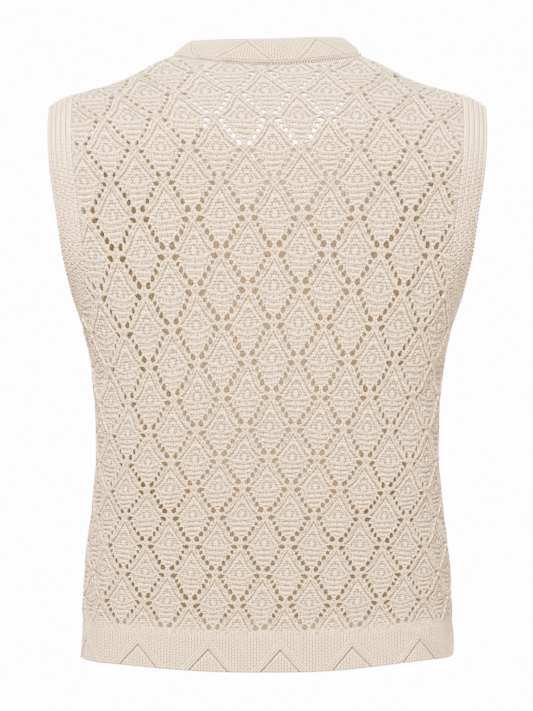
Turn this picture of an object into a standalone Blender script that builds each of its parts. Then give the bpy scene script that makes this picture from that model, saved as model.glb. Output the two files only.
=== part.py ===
"""A sleeveless knitted vest, hollow as it is worn.

The back and the front are openwork panels of raised diamond ribs with eyelets cut through. They
meet at side and shoulder seams. A neckband, two armbands and a welt under each panel finish the
edges. Lengths are in metres, +X is across, the back faces -Y, and +Z is up. The origin is the
middle of the neck, level with the neck ends of the shoulder seams.
"""

import math
from functools import lru_cache
from typing import NamedTuple

import bmesh
import bpy
import numpy as np
from mathutils import Vector
from mathutils.geometry import delaunay_2d_cdt

MM = 0.001

# Cloth.
CLOTH_WALL = 2.0 * MM
BAND_WALL = 2.4 * MM
SEAM_GAP = 0.3 * MM
NECK_SEAM_GAP = 0.5 * MM
RIB_RISE = 1.2 * MM
LEAF_RISE = 0.9 * MM
ZIGZAG_RISE = 1.2 * MM

# Lengthwise places, measured from the neck ends of the shoulder seams.
PANEL_FOOT = -515.5 * MM
HEM = -545.0 * MM

# Roundness of the body: 2 is an ellipse, more is squarer.
SECTION_POWER = 3.0

# The cloth rolls from the shoulder line to its full depth over this drop, in this power curve.
NECK_ROLL = 120.0 * MM
TIP_ROLL = 80.0 * MM
ROLL_POWER = 0.75

# Neckline and neckband.
NECK_HALF_WIDTH = 85.0 * MM
NECKBAND_TOP_HALF_WIDTH = 66.0 * MM
NECKBAND_SIDE_HEIGHT = 15.0 * MM
NECKBAND_BACK_HEIGHT = 10.5 * MM
NECKBAND_FRONT_HEIGHT = -72.0 * MM
NECKBAND_BACK_LEAN = 0.86
NECKBAND_FRONT_LEAN = 0.96
STEPS_PER_NECK_ZIGZAG = 7
NECK_ZIGZAG_SHIFT = 2
NECK_ZIGZAG_LOW = 0.36
NECK_ZIGZAG_HIGH = 0.84
NECK_ZIGZAG_HALF_BAND = 0.11

# Welts.
WELT_ZIGZAG = 62.5 * MM
WELT_ZIGZAG_APEX = 11.0 * MM
WELT_ZIGZAG_LOW = 0.20
WELT_ZIGZAG_HIGH = 0.80
WELT_ZIGZAG_HALF_BAND = 0.16
WELT_END_MARGIN = 0.3

# Eyelets that are cut through, on each panel.
MOST_EYELETS = 150

BACK = -1
FRONT = 1


class Neckline(NamedTuple):
    """A neckline: the drop to its middle, its squareness, where 2 is an ellipse, the share that it
    widens by below the shoulders, and the steps along it."""

    drop: float
    power: float
    flare: float
    steps: int


NECKLINES = {
    BACK: Neckline(14.4 * MM, 1.6, 0.0, 20),
    FRONT: Neckline(93.0 * MM, 4.0, 0.12, 36),
}

# Fineness of the lines that lengths are measured along, and the merge distance for flat points.
FINE_STEPS = 360
MERGE_DISTANCE = 0.02


class Section(NamedTuple):
    """A level cut through the body of the vest. Above the underarm it is the cut before the
    armholes are taken out of it."""

    height: float
    half_width: float
    back_depth: float
    front_depth: float


SECTIONS = (
    Section(-545 * MM, 166.2 * MM, 91 * MM, 96 * MM),
    Section(-490 * MM, 163.8 * MM, 91 * MM, 95 * MM),
    Section(-445 * MM, 160.9 * MM, 92 * MM, 94 * MM),
    Section(-400 * MM, 155.2 * MM, 94 * MM, 94 * MM),
    Section(-343 * MM, 152.0 * MM, 96 * MM, 96 * MM),
    Section(-310 * MM, 153.6 * MM, 98 * MM, 100 * MM),
    Section(-265 * MM, 159.3 * MM, 100 * MM, 106 * MM),
    Section(-220 * MM, 173.4 * MM, 102 * MM, 112 * MM),
    Section(-175 * MM, 193.2 * MM, 103 * MM, 115 * MM),
    Section(-136 * MM, 203.0 * MM, 103 * MM, 114 * MM),
    Section(-85 * MM, 209.5 * MM, 101 * MM, 108 * MM),
    Section(-44 * MM, 211.0 * MM, 98 * MM, 100 * MM),
    Section(30 * MM, 211.0 * MM, 96 * MM, 96 * MM),
)


class ShoulderPoint(NamedTuple):
    """A point of the shoulder seam, seen from behind."""

    across: float
    height: float


SHOULDER_LINE = (
    ShoulderPoint(0 * MM, 17 * MM),
    ShoulderPoint(50 * MM, 12 * MM),
    ShoulderPoint(85 * MM, 0 * MM),
    ShoulderPoint(103 * MM, -8 * MM),
    ShoulderPoint(124 * MM, -19 * MM),
    ShoulderPoint(145 * MM, -27 * MM),
    ShoulderPoint(167 * MM, -33 * MM),
    ShoulderPoint(189 * MM, -41 * MM),
    ShoulderPoint(197 * MM, -47 * MM),
    ShoulderPoint(220 * MM, -66 * MM),
)


class LatticeRow(NamedTuple):
    """A row where the diamond ribs cross. Rows are counted down from the neck."""

    row: float
    height: float
    pitch: float
    shift: float


LATTICE = (
    LatticeRow(-2, 17 * MM, 60.0 * MM, -7.0 * MM),
    LatticeRow(0, -20.6 * MM, 56.0 * MM, -5.2 * MM),
    LatticeRow(1, -41.2 * MM, 52.6 * MM, -1.2 * MM),
    LatticeRow(2, -64.5 * MM, 49.4 * MM, 2.6 * MM),
    LatticeRow(3, -92 * MM, 48.4 * MM, 5.0 * MM),
    LatticeRow(4, -119.5 * MM, 47.8 * MM, 6.1 * MM),
    LatticeRow(6, -181 * MM, 46.1 * MM, 6.2 * MM),
    LatticeRow(8, -243 * MM, 44.0 * MM, 5.1 * MM),
    LatticeRow(10, -305 * MM, 42.6 * MM, 3.4 * MM),
    LatticeRow(12, -359 * MM, 42.3 * MM, 0.7 * MM),
    LatticeRow(14, -409 * MM, 41.7 * MM, -1.8 * MM),
    LatticeRow(16, -460 * MM, 41.4 * MM, -3.9 * MM),
    LatticeRow(18, -511 * MM, 41.4 * MM, -6.2 * MM),
    LatticeRow(20, -561 * MM, 41.4 * MM, -8.5 * MM),
)


# The front's lattice is this much larger, about this level, and lies half a column to the side, so
# that its eyelets don't line up with those of the back.
FRONT_LATTICE_SCALE = 1.085
FRONT_LATTICE_LEVEL = -270.0 * MM
FRONT_LATTICE_SHIFT = 0.5

# The lattice's rows droop towards the sides, between two heights.
LEFT_DROOP = 14.0 * MM
RIGHT_DROOP = 6.0 * MM
DROOP_REACH = 130.0 * MM
DROOP_TOP = -170.0 * MM
DROOP_TOP_FADE = 60.0 * MM
DROOP_FOOT = -435.0 * MM
DROOP_FOOT_FADE = 90.0 * MM
DROOP_ROUNDS = 6


class ArmholeLine(NamedTuple):
    """A line round the armhole: from the shoulder, past its middle level, to the underarm."""

    top_across: float
    top_height: float
    middle_height: float
    middle_from_side: float
    bottom_height: float
    steps: int


ARMBAND_EDGE = ArmholeLine(197 * MM, -47 * MM, -136 * MM, 64 * MM, -225 * MM, 14)
ARMBAND_SEAM = ArmholeLine(175 * MM, -35.8 * MM, -138 * MM, 92 * MM, -247 * MM, 14)
ARMHOLE_SHOULDER_POWER = 1.6

# Ribs that run round each armband, side by side.
ARMBAND_RIBS = 6
ARMBAND_RIB_RISE = 0.7 * MM


class SmoothCurve:
    """A smooth line through the points of a table."""

    def __init__(self, xs, ys):
        order = np.argsort(xs)
        self.xs = np.asarray(xs, float)[order]
        self.ys = np.asarray(ys, float)[order]
        self.slopes = np.gradient(self.ys, self.xs)

    def __call__(self, x):
        x = min(max(x, self.xs[0]), self.xs[-1])
        i = min(int(np.searchsorted(self.xs, x, side="right")) - 1, len(self.xs) - 2)
        span = self.xs[i + 1] - self.xs[i]
        t = (x - self.xs[i]) / span
        start = (2 * t**3 - 3 * t**2 + 1) * self.ys[i]
        end = (3 * t**2 - 2 * t**3) * self.ys[i + 1]
        leave = (t**3 - 2 * t**2 + t) * span * self.slopes[i]
        arrive = (t**3 - t**2) * span * self.slopes[i + 1]
        return start + end + leave + arrive


def column_curve(table, key, column):
    """The smooth line of one column of a table over its key column."""
    return SmoothCurve([getattr(row, key) for row in table], [getattr(row, column) for row in table])


half_width_at = column_curve(SECTIONS, "height", "half_width")
depth_at = {
    BACK: column_curve(SECTIONS, "height", "back_depth"),
    FRONT: column_curve(SECTIONS, "height", "front_depth"),
}
shoulder_height_at = column_curve(SHOULDER_LINE, "across", "height")
row_height_at = column_curve(LATTICE, "row", "height")
row_at = column_curve(LATTICE, "height", "row")
pitch_at = column_curve(LATTICE, "row", "pitch")
shift_at = column_curve(LATTICE, "row", "shift")

QUARTER = np.linspace(0.0, math.pi / 2, FINE_STEPS // 2 + 1)


# The body's outer face. A place on it is its arc (distance round from the middle, before the
# shoulders roll in) and its height.


@lru_cache(maxsize=None)
def quarter_ring(height, face):
    """Arc, across and depth along a quarter of the section at a height."""
    across = np.sin(QUARTER) / half_width_at(height)
    depth = np.cos(QUARTER) / depth_at[face](height)
    reach = (across**SECTION_POWER + depth**SECTION_POWER) ** (-1.0 / SECTION_POWER)
    xs = reach * np.sin(QUARTER)
    ys = reach * np.cos(QUARTER)
    arcs = np.concatenate([[0.0], np.cumsum(np.hypot(np.diff(xs), np.diff(ys)))])
    return arcs, xs, ys


def side_arc(height, face):
    """The arc at the side of the body."""
    return quarter_ring(height, face)[0][-1]


def arc_of(across, height, face):
    """The arc at a distance across."""
    arcs, xs, _ = quarter_ring(height, face)
    return math.copysign(np.interp(abs(across), xs, arcs), across)


def across_of(arc, height, face):
    """The distance across at an arc."""
    arcs, xs, _ = quarter_ring(height, face)
    return math.copysign(np.interp(abs(arc), arcs, xs), arc)


def body_point(arc, height, face):
    """The point of the body's outer face at an arc and a height."""
    arcs, xs, ys = quarter_ring(height, face)
    across = np.interp(abs(arc), arcs, xs)
    depth = np.interp(abs(arc), arcs, ys)
    drop = max(0.0, shoulder_height_at(across) - height)
    roll = NECK_ROLL + (TIP_ROLL - NECK_ROLL) * min(1.0, across / ARMBAND_EDGE.top_across)
    depth *= math.sin(math.pi / 2 * min(1.0, drop / roll) ** ROLL_POWER)
    return Vector((math.copysign(across, arc), face * depth, height))


def body_normal(arc, height, face):
    """The way that the body's outer face looks at a place. At a seam it lies in the seam's plane."""
    reach = 1.0 * MM
    clear = 1.5 * MM
    at_seam = abs(body_point(arc, height, face).y) < SEAM_GAP
    height = min(height, shoulder_height_at(abs(across_of(arc, height, face))) - clear)
    limit = side_arc(height, face)
    low = max(arc - reach, -limit)
    high = min(arc + reach, limit)
    around = body_point(high, height, face) - body_point(low, height, face)
    upward = body_point(arc, height + reach, face) - body_point(arc, height - reach, face)
    normal = around.cross(upward) * -face
    if at_seam:
        normal.y = 0.0
    return normal.normalized()


def armhole_place(line, angle, face):
    """Arc and height on an armhole line: 0 is the shoulder and pi is the underarm."""
    if angle <= math.pi / 2:
        rise = line.top_height - line.middle_height
        height = line.middle_height + rise * math.cos(angle)
        middle_arc = side_arc(line.middle_height, face) - line.middle_from_side
        middle_across = across_of(middle_arc, line.middle_height, face)
        fall = ((line.top_height - height) / rise) ** ARMHOLE_SHOULDER_POWER
        across = line.top_across + (middle_across - line.top_across) * fall
        return arc_of(across, height, face), height
    fall = line.middle_height - line.bottom_height
    height = line.middle_height + fall * math.cos(angle)
    return side_arc(height, face) - line.middle_from_side * math.sin(angle), height


def neckline_place(angle, face):
    """Across and height on the neckline: 0 is the middle, pi / 2 the neck end of the shoulder."""
    line = NECKLINES[face]
    across = abs(math.sin(angle)) / NECK_HALF_WIDTH
    down = math.cos(angle) / line.drop
    reach = (across**line.power + down**line.power) ** (-1.0 / line.power)
    share = reach * down
    widened = 1.0 + line.flare * 4 * share * (1.0 - share)
    return widened * reach * math.sin(angle), shoulder_height_at(NECK_HALF_WIDTH) - share * line.drop


def neckline_angles(face):
    """Angles that part the neckline of one face into stretches of equal length."""
    fine = np.linspace(-math.pi / 2, math.pi / 2, FINE_STEPS + 1)
    points = []
    for angle in fine:
        across, height = neckline_place(angle, face)
        points.append(body_point(arc_of(across, height, face), height, face))
    lengths = [(b - a).length for a, b in zip(points, points[1:])]
    run = np.concatenate([[0.0], np.cumsum(lengths)])
    return np.interp(np.linspace(0.0, run[-1], NECKLINES[face].steps + 1), run, fine)


# The lattice plane. A place on it is its column and row, laid out flat at about real size.

FLAT_COLUMN = 44.0
FLAT_ROW = 28.0

# Margins on the lattice plane: ribs sink into the edge, and points keep clear of it.
RIB_FADE = 3.0
HOLLOW_MARGIN = 2.5
EYELET_MARGIN = 3.0
LEAF_MARGIN = 4.0
INNER_MARGIN = 5.0

# Points along the straight and gently curved edges of a panel.
SIDE_STEPS = 7
SHOULDER_STEPS = 6
FOOT_STEPS = 16


def lattice_layout(face):
    """How much larger the face's lattice is, and how many columns it lies to the side."""
    return (1.0, 0.0) if face == BACK else (FRONT_LATTICE_SCALE, FRONT_LATTICE_SHIFT)


def eased(share):
    """A share from 0 to 1, eased at both ends and held past them."""
    share = min(1.0, max(0.0, share))
    return share * share * (3.0 - 2.0 * share)


def droop(arc, level):
    """How far the lattice droops at an arc, on a row that is at this level in the middle."""
    most = LEFT_DROOP if arc < 0 else RIGHT_DROOP
    span = eased((DROOP_TOP - level) / DROOP_TOP_FADE) * eased((level - DROOP_FOOT) / DROOP_FOOT_FADE)
    return most * span * arc**2 / (arc**2 + DROOP_REACH**2)


def to_flat(arc, height, face):
    """The lattice plane's point for a place on the body."""
    scale, sideways = lattice_layout(face)
    level = height
    for _ in range(DROOP_ROUNDS):
        level = height + droop(arc, level)
    row = row_at(FRONT_LATTICE_LEVEL + (level - FRONT_LATTICE_LEVEL) / scale)
    column = (arc / scale - shift_at(row)) / pitch_at(row) - sideways
    return Vector((column * FLAT_COLUMN, -row * FLAT_ROW))


def to_body(flat, face):
    """Arc and height of a point of the lattice plane."""
    scale, sideways = lattice_layout(face)
    row = -flat.y / FLAT_ROW
    column = flat.x / FLAT_COLUMN + sideways
    level = FRONT_LATTICE_LEVEL + (row_height_at(row) - FRONT_LATTICE_LEVEL) * scale
    arc = (column * pitch_at(row) + shift_at(row)) * scale
    return arc, level - droop(arc, level)


# One diamond, from its upper crossing: columns in half pitches, rows in half diamonds.
RIB_BEND = (0.62, 0.80)
FOOT_POINTS = ((0.0, 0.55), (0.70, 1.05), (-0.70, 1.05), (0.27, 1.72))
LEAF_POINT = (0.0, 1.02)
EYELET = ((-0.31, 1.72), (-0.19, 1.62), (-0.09, 1.77), (-0.21, 1.84))


def lattice_point(column, row, offset):
    """The lattice plane's point at an offset from a crossing."""
    return Vector(((column + offset[0] / 2) * FLAT_COLUMN, -(row + offset[1]) * FLAT_ROW))


def crossings():
    """Column and row of each crossing over a panel and a little past its edges."""
    for row in range(-2, 20):
        for step in range(-7, 8):
            yield step + (row % 2) / 2, row


def inside(point, outline):
    """Whether a point of the lattice plane is within an outline."""
    x, y = point
    starts = outline
    ends = np.roll(outline, -1, axis=0)
    spans = (starts[:, 1] > y) != (ends[:, 1] > y)
    rise = np.where(spans, ends[:, 1] - starts[:, 1], 1.0)
    crossing = starts[:, 0] + (y - starts[:, 1]) * (ends[:, 0] - starts[:, 0]) / rise
    return bool(np.count_nonzero(spans & (x < crossing)) % 2)


def clearance(point, outline):
    """Distance from a point of the lattice plane to an outline."""
    starts = outline
    along = np.roll(outline, -1, axis=0) - starts
    away = np.array(point) - starts
    reach = np.clip((away * along).sum(axis=1) / (along**2).sum(axis=1), 0.0, 1.0)
    return float(np.hypot(*(away - along * reach[:, None]).T).min())


def panel_outline(face):
    """The panel's edge on the lattice plane, in order."""
    foot = PANEL_FOOT + SEAM_GAP / 2
    half = side_arc(foot, face)
    underarm = ARMBAND_SEAM.bottom_height - SEAM_GAP / 2
    right = [(side_arc(z, face), z) for z in np.linspace(foot, underarm, SIDE_STEPS + 1)]
    for step in range(ARMBAND_SEAM.steps - 1, -1, -1):
        arc, height = armhole_place(ARMBAND_SEAM, math.pi * step / ARMBAND_SEAM.steps, face)
        right.append((arc - SEAM_GAP / 2, height))
    tip = across_of(*right[-1], face)
    for across in np.linspace(tip, NECK_HALF_WIDTH, SHOULDER_STEPS + 1)[1:-1]:
        height = shoulder_height_at(across)
        right.append((arc_of(across, height, face), height))
    neck = []
    for angle in neckline_angles(face)[::-1]:
        across, height = neckline_place(angle, face)
        neck.append((arc_of(across, height, face), height))
    bottom = [(arc, foot) for arc in np.linspace(-half, half, FOOT_STEPS + 1)[1:-1]]
    left = [(-arc, height) for arc, height in reversed(right)]
    return [to_flat(*place, face) for place in bottom + right + neck + left]


class FlatDrawing:
    """Points, lines and holes on the lattice plane, to be joined up into triangles."""

    def __init__(self, points, lines, outline):
        self.points = list(points)
        self.lines = list(lines)
        self.outline = outline
        self.rises = [0.0] * len(self.points)
        self.holes = []

    def add(self, point, rise):
        """Adds a point that stands a distance off the cloth, and gives its number."""
        self.points.append(point)
        self.rises.append(rise)
        return len(self.points) - 1

    def triangulate(self, rim_count):
        """Points, the numbers each came from, and the triangles that are cloth.

        A point that came from none, or from the first rim_count, lies on the edge.
        """
        points, _, triangles, origins, _, _ = delaunay_2d_cdt(
            self.points, self.lines, [], 0, MERGE_DISTANCE, True
        )
        holes_at = [{h for h, hole in enumerate(self.holes) if hole & set(o)} for o in origins]
        rises = []
        for origin in origins:
            on_edge = not origin or min(origin) < rim_count
            rises.append(0.0 if on_edge else max(self.rises[i] for i in origin))
        cloth = []
        for triangle in triangles:
            middle = sum((points[i] for i in triangle), Vector((0.0, 0.0))) / 3
            if set.intersection(*(holes_at[i] for i in triangle)):
                continue
            if inside(middle, self.outline):
                cloth.append(tuple(triangle))
        return points, origins, rises, holes_at, cloth


def closed_lines(numbers):
    """The lines of a ring through numbered points."""
    return list(zip(numbers, numbers[1:] + numbers[:1]))


def draw_ribs(drawing):
    """Adds the raised ribs: from each crossing, one bent line down to either side."""
    crests = {}

    def crest(column, row, offset):
        point = lattice_point(column, row, offset)
        key = (round(point.x, 3), round(point.y, 3))
        if key not in crests:
            fade = min(1.0, clearance(point, drawing.outline) / RIB_FADE)
            crests[key] = drawing.add(point, RIB_RISE * fade)
        return crests[key]

    for column, row in crossings():
        for hand in (-1, 1):
            stops = ((0.0, 0.0), (hand * RIB_BEND[0], RIB_BEND[1]), (hand * 1.0, 1.0))
            for start, end in zip(stops, stops[1:]):
                ends = (lattice_point(column, row, start), lattice_point(column, row, end))
                if any(inside(point, drawing.outline) for point in ends):
                    drawing.lines.append((crest(column, row, start), crest(column, row, end)))


def draw_diamonds(drawing):
    """Adds the hollow inside each diamond, its raised leaf and the larger of its eyelets.

    Of the eyelets, those nearest the side seams stay closed once there are enough.
    """
    eyelets = []
    for column, row in crossings():
        points = [(offset, 0.0, HOLLOW_MARGIN) for offset in FOOT_POINTS]
        points.append((LEAF_POINT, LEAF_RISE, LEAF_MARGIN))
        for offset, rise, margin in points:
            point = lattice_point(column, row, offset)
            if inside(point, drawing.outline) and clearance(point, drawing.outline) > margin:
                drawing.add(point, rise)
        corners = [lattice_point(column, row, offset) for offset in EYELET]
        clear = (clearance(corner, drawing.outline) > EYELET_MARGIN for corner in corners)
        if all(inside(corner, drawing.outline) for corner in corners) and all(clear):
            eyelets.append(corners)
    eyelets.sort(key=lambda corners: abs(corners[0].x))
    for corners in eyelets[:MOST_EYELETS]:
        ring = [drawing.add(corner, 0.0) for corner in corners]
        drawing.lines += closed_lines(ring)
        drawing.holes.append(set(ring))


def draw_inside(rim, rim_holes, outline):
    """The plain inner face: the outer face's rim, and a point under each crossing."""
    drawing = FlatDrawing([], [], outline)
    number = {}
    for start, _ in rim:
        number[start] = drawing.add(rim_holes[start][0], 0.0)
    drawing.lines = [(number[start], number[end]) for start, end in rim]
    for hole in set().union(*(rim_holes[start][1] for start, _ in rim)):
        drawing.holes.append({number[start] for start, _ in rim if hole in rim_holes[start][1]})
    for column, row in crossings():
        point = lattice_point(column, row, (0.0, 0.0))
        if inside(point, outline) and clearance(point, outline) > INNER_MARGIN:
            drawing.add(point, 0.0)
    return drawing, number


def panel(name, face):
    """A body panel: ribs raised over hollows, eyelets cut through, plain inside."""
    edge = panel_outline(face)
    outline = np.array([tuple(point) for point in edge])
    outside = FlatDrawing(edge, closed_lines(list(range(len(edge)))), outline)
    draw_ribs(outside)
    draw_diamonds(outside)
    points, _, rises, holes_at, outer = outside.triangulate(len(edge))
    sides = {side for triangle in outer for side in zip(triangle, triangle[1:] + triangle[:1])}
    rim = [side for side in sides if side[::-1] not in sides]
    rim.sort()
    lining, number = draw_inside(rim, [pair for pair in zip(points, holes_at)], outline)
    inner_points, origins, _, _, inner = lining.triangulate(0)
    inner_of = {i: k for k, origin in enumerate(origins) for i in origin}

    mesh = bmesh.new()

    def lay(flat, rise):
        arc, height = to_body(flat, face)
        limit = side_arc(height, face)
        arc = max(-limit, min(limit, arc))
        point = body_point(arc, height, face) + body_normal(arc, height, face) * rise
        return mesh.verts.new(point + Vector((0.0, face * SEAM_GAP / 2, 0.0)))

    used = sorted({i for triangle in outer for i in triangle})
    outer_verts = {i: lay(points[i], rises[i]) for i in used}
    inner_verts = [lay(point, -CLOTH_WALL) for point in inner_points]
    for triangle in outer:
        mesh.faces.new([outer_verts[i] for i in triangle])
    for triangle in inner:
        mesh.faces.new([inner_verts[i] for i in reversed(triangle)])
    for start, end in rim:
        below = [inner_verts[inner_of[number[i]]] for i in (start, end)]
        mesh.faces.new((outer_verts[end], outer_verts[start], below[1]))
        mesh.faces.new((outer_verts[start], below[0], below[1]))
    return finish(name, mesh, BODY_KNIT)


def strip(name, outer_rows, inner_rows, closed, yarn):
    """A band from its outer and inner points, given as one column after another along it."""
    mesh = bmesh.new()
    outer = [[mesh.verts.new(point) for point in column] for column in outer_rows]
    inner = [[mesh.verts.new(point) for point in column] for column in inner_rows]
    count = len(outer)
    for step in range(count if closed else count - 1):
        after = (step + 1) % count
        for grid in (outer, inner):
            for low in range(len(grid[step]) - 1):
                ring = (grid[step][low], grid[after][low], grid[after][low + 1], grid[step][low + 1])
                mesh.faces.new(ring if grid is outer else ring[::-1])
        for side in (0, -1):
            ring = (outer[step][side], inner[step][side], inner[after][side], outer[after][side])
            mesh.faces.new(ring if side == 0 else ring[::-1])
    if not closed:
        for end in (0, -1):
            mesh.faces.new(outer[end] + inner[end][::-1])
    return finish(name, mesh, yarn)


def finish(name, mesh, yarn):
    """An object from a closed mesh, faces out, with its material."""
    bmesh.ops.recalc_face_normals(mesh, faces=mesh.faces)
    data = bpy.data.meshes.new(name)
    mesh.to_mesh(data)
    mesh.free()
    data.materials.append(yarn)
    body = bpy.data.objects.new(name, data)
    bpy.context.scene.collection.objects.link(body)
    return body


def zigzag_levels(wave, low, high, half_band):
    """Levels across a band and how far each stands out, where a zigzag passes at this wave."""
    middle = high - (high - low) * (1.0 - abs(2.0 * (wave % 1.0) - 1.0))
    rises = (0.0, 0.0, ZIGZAG_RISE, 0.0, 0.0)
    return list(zip((0.0, middle - half_band, middle, middle + half_band, 1.0), rises))


def neckband():
    """The ring of rib round the neck, with a raised zigzag."""
    feet, tops = [], []
    for face, level, lean in (
        (BACK, NECKBAND_BACK_HEIGHT, NECKBAND_BACK_LEAN),
        (FRONT, NECKBAND_FRONT_HEIGHT, NECKBAND_FRONT_LEAN),
    ):
        angles = neckline_angles(face)
        for angle in angles[:-1] if face == BACK else angles[:0:-1]:
            across, height = neckline_place(angle, face)
            foot = body_point(arc_of(across, height, face), height, face)
            top_across = NECKBAND_TOP_HALF_WIDTH * across / NECK_HALF_WIDTH
            share = -height / NECKLINES[face].drop
            top_height = NECKBAND_SIDE_HEIGHT + (level - NECKBAND_SIDE_HEIGHT) * share
            feet.append(foot)
            tops.append(Vector((top_across, foot.y * lean, top_height)))
    outer_rows, inner_rows = [], []
    for step, (foot, top) in enumerate(zip(feet, tops)):
        along = feet[(step + 1) % len(feet)] - feet[step - 1]
        up = (top - foot).normalized()
        out = along.cross(up).normalized()
        start = foot + up * NECK_SEAM_GAP
        wave = (step + NECK_ZIGZAG_SHIFT - NECKLINES[BACK].steps // 2) / STEPS_PER_NECK_ZIGZAG
        levels = zigzag_levels(wave, NECK_ZIGZAG_LOW, NECK_ZIGZAG_HIGH, NECK_ZIGZAG_HALF_BAND)
        outer_rows.append([start.lerp(top, t) + out * rise for t, rise in levels])
        inner_rows.append([start - out * BAND_WALL, top - out * BAND_WALL])
    return strip("neckband", outer_rows, inner_rows, True, RIB_KNIT)


def armband(name, hand):
    """The ring of rib round an armhole."""
    outer_rows, inner_rows = [], []
    steps = ARMBAND_SEAM.steps
    turns = [(BACK, step) for step in range(steps + 1)] + [(FRONT, step) for step in range(steps - 1, 0, -1)]
    for face, step in turns:
        angle = math.pi * step / steps
        seam_arc, seam_height = armhole_place(ARMBAND_SEAM, angle, face)
        edge_arc, edge_height = armhole_place(ARMBAND_EDGE, angle, face)
        outer, inner = [], []
        for line in range(2 * ARMBAND_RIBS + 1):
            t = line / (2 * ARMBAND_RIBS)
            rise = ARMBAND_RIB_RISE * (line % 2)
            arc = seam_arc + SEAM_GAP / 2 + (edge_arc - seam_arc - SEAM_GAP / 2) * t
            height = seam_height + (edge_height - seam_height) * t
            if step == 0:
                across = across_of(arc, height, face)
                height = shoulder_height_at(across)
            if step == steps:
                height += SEAM_GAP / 2 * (1 - t)
                arc = side_arc(height, face)
            point = body_point(arc, height, face)
            normal = body_normal(arc, height, face)
            if step in (0, steps):
                point.y = 0.0
                normal.y = 0.0
                normal.normalize()
            outer.append(point + normal * rise)
            inner.append(point - normal * BAND_WALL)
        outer_rows.append([Vector((hand * p.x, p.y, p.z)) for p in outer])
        inner_rows.append([Vector((hand * p.x, p.y, p.z)) for p in (inner[0], inner[-1])])
    return strip(name, outer_rows, inner_rows, True, RIB_KNIT)


def welt(name, face):
    """The ribbed strip under a panel, with a broad raised zigzag."""
    top = PANEL_FOOT - SEAM_GAP / 2
    half = side_arc(HEM, face)
    quarter = WELT_ZIGZAG / 4
    first = math.ceil((-half - WELT_ZIGZAG_APEX) / quarter + WELT_END_MARGIN)
    last = math.floor((half - WELT_ZIGZAG_APEX) / quarter - WELT_END_MARGIN)
    stops = [(WELT_ZIGZAG_APEX + quarter * k) / half for k in range(first, last + 1)]
    outer_rows, inner_rows = [], []
    for share in [-1.0] + stops + [1.0]:
        wave = (share * half - WELT_ZIGZAG_APEX) / WELT_ZIGZAG
        levels = zigzag_levels(wave, WELT_ZIGZAG_LOW, WELT_ZIGZAG_HIGH, WELT_ZIGZAG_HALF_BAND)
        outer, inner = [], []
        for t, rise in levels:
            height = HEM + (top - HEM) * t
            arc = share * side_arc(height, face)
            point = body_point(arc, height, face) + Vector((0.0, face * SEAM_GAP / 2, 0.0))
            normal = body_normal(arc, height, face)
            outer.append(point + normal * rise)
            inner.append(point - normal * BAND_WALL)
        outer_rows.append(outer)
        inner_rows.append([inner[0], inner[-1]])
    return strip(name, outer_rows, inner_rows, False, WELT_KNIT)


def material(name, colour, roughness):
    """A matt yarn."""
    yarn = bpy.data.materials.new(name)
    yarn.use_nodes = True
    shader = yarn.node_tree.nodes["Principled BSDF"]
    shader.inputs["Base Color"].default_value = (*colour, 1.0)
    shader.inputs["Roughness"].default_value = roughness
    shader.inputs["Metallic"].default_value = 0.0
    return yarn


for leftover in list(bpy.data.objects):
    bpy.data.objects.remove(leftover, do_unlink=True)

BODY_KNIT = material("ecru_openwork_knit", (0.77, 0.67, 0.54), 0.9)
RIB_KNIT = material("ecru_fine_rib", (0.79, 0.70, 0.58), 0.88)
WELT_KNIT = material("ecru_welt_rib", (0.78, 0.69, 0.56), 0.88)

panel("back_panel", BACK)
panel("front_panel", FRONT)
welt("hem_welt_back", BACK)
welt("hem_welt_front", FRONT)
neckband()
armband("armband_left", -1)
armband("armband_right", 1)
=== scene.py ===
"""Dresses the frame of a hollow sleeveless vest in openwork cotton knit.

The two body panels are diamond lace with raised twin ribs, nested leaves, bobbles, purl ridges and
rows of eyelets. A fine rib finishes the neck, armholes and hem. Lengths are in millimetres until a
mesh is written. +X is across, the back faces -Y and +Z is up.
"""

import logging
import math
from dataclasses import dataclass, field
from enum import Enum
from typing import Any, NamedTuple, Sequence

import bpy
import numpy as np
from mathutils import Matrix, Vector
from mathutils.geometry import delaunay_2d_cdt


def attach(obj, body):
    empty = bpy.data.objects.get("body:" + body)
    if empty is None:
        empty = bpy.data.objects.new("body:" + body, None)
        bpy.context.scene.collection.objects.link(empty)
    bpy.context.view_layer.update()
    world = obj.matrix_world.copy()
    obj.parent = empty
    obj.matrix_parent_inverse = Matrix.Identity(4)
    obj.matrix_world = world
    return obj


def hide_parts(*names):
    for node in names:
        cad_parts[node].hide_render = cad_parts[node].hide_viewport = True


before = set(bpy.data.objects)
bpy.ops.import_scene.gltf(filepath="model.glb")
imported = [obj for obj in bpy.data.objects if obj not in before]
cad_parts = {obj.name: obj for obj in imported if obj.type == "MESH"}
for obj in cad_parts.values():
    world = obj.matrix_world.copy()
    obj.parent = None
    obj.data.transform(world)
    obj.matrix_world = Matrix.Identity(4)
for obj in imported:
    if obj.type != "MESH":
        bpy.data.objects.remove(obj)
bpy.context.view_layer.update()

LOG = logging.getLogger("vest")
Array = np.ndarray

# The gaps at the seams, and the levels where the panels and the hem end.
SEAM_GAP = 0.3
NECK_SEAM_GAP = 0.5
PANEL_FOOT = -515.5
HEM = -545.0

# One stitch of the lace, one fine rib, one row of its stitches and one zigzag of the welt.
STITCH = 2.35
RIB_PITCH = 2.7
WALE_ROW = 3.65
ZIGZAG = 62.5


class Face(Enum):
    """A face of the vest, with the way it looks along Y."""

    BACK = -1
    FRONT = 1


class Zone(Enum):
    """Which stitch a patch of cloth is knitted in."""

    PURL = 0
    WALE = 1
    RIB = 2
    LINING = 3


class Section(NamedTuple):
    """A level cut through the body."""

    height: float
    half_width: float
    back_depth: float
    front_depth: float


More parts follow.
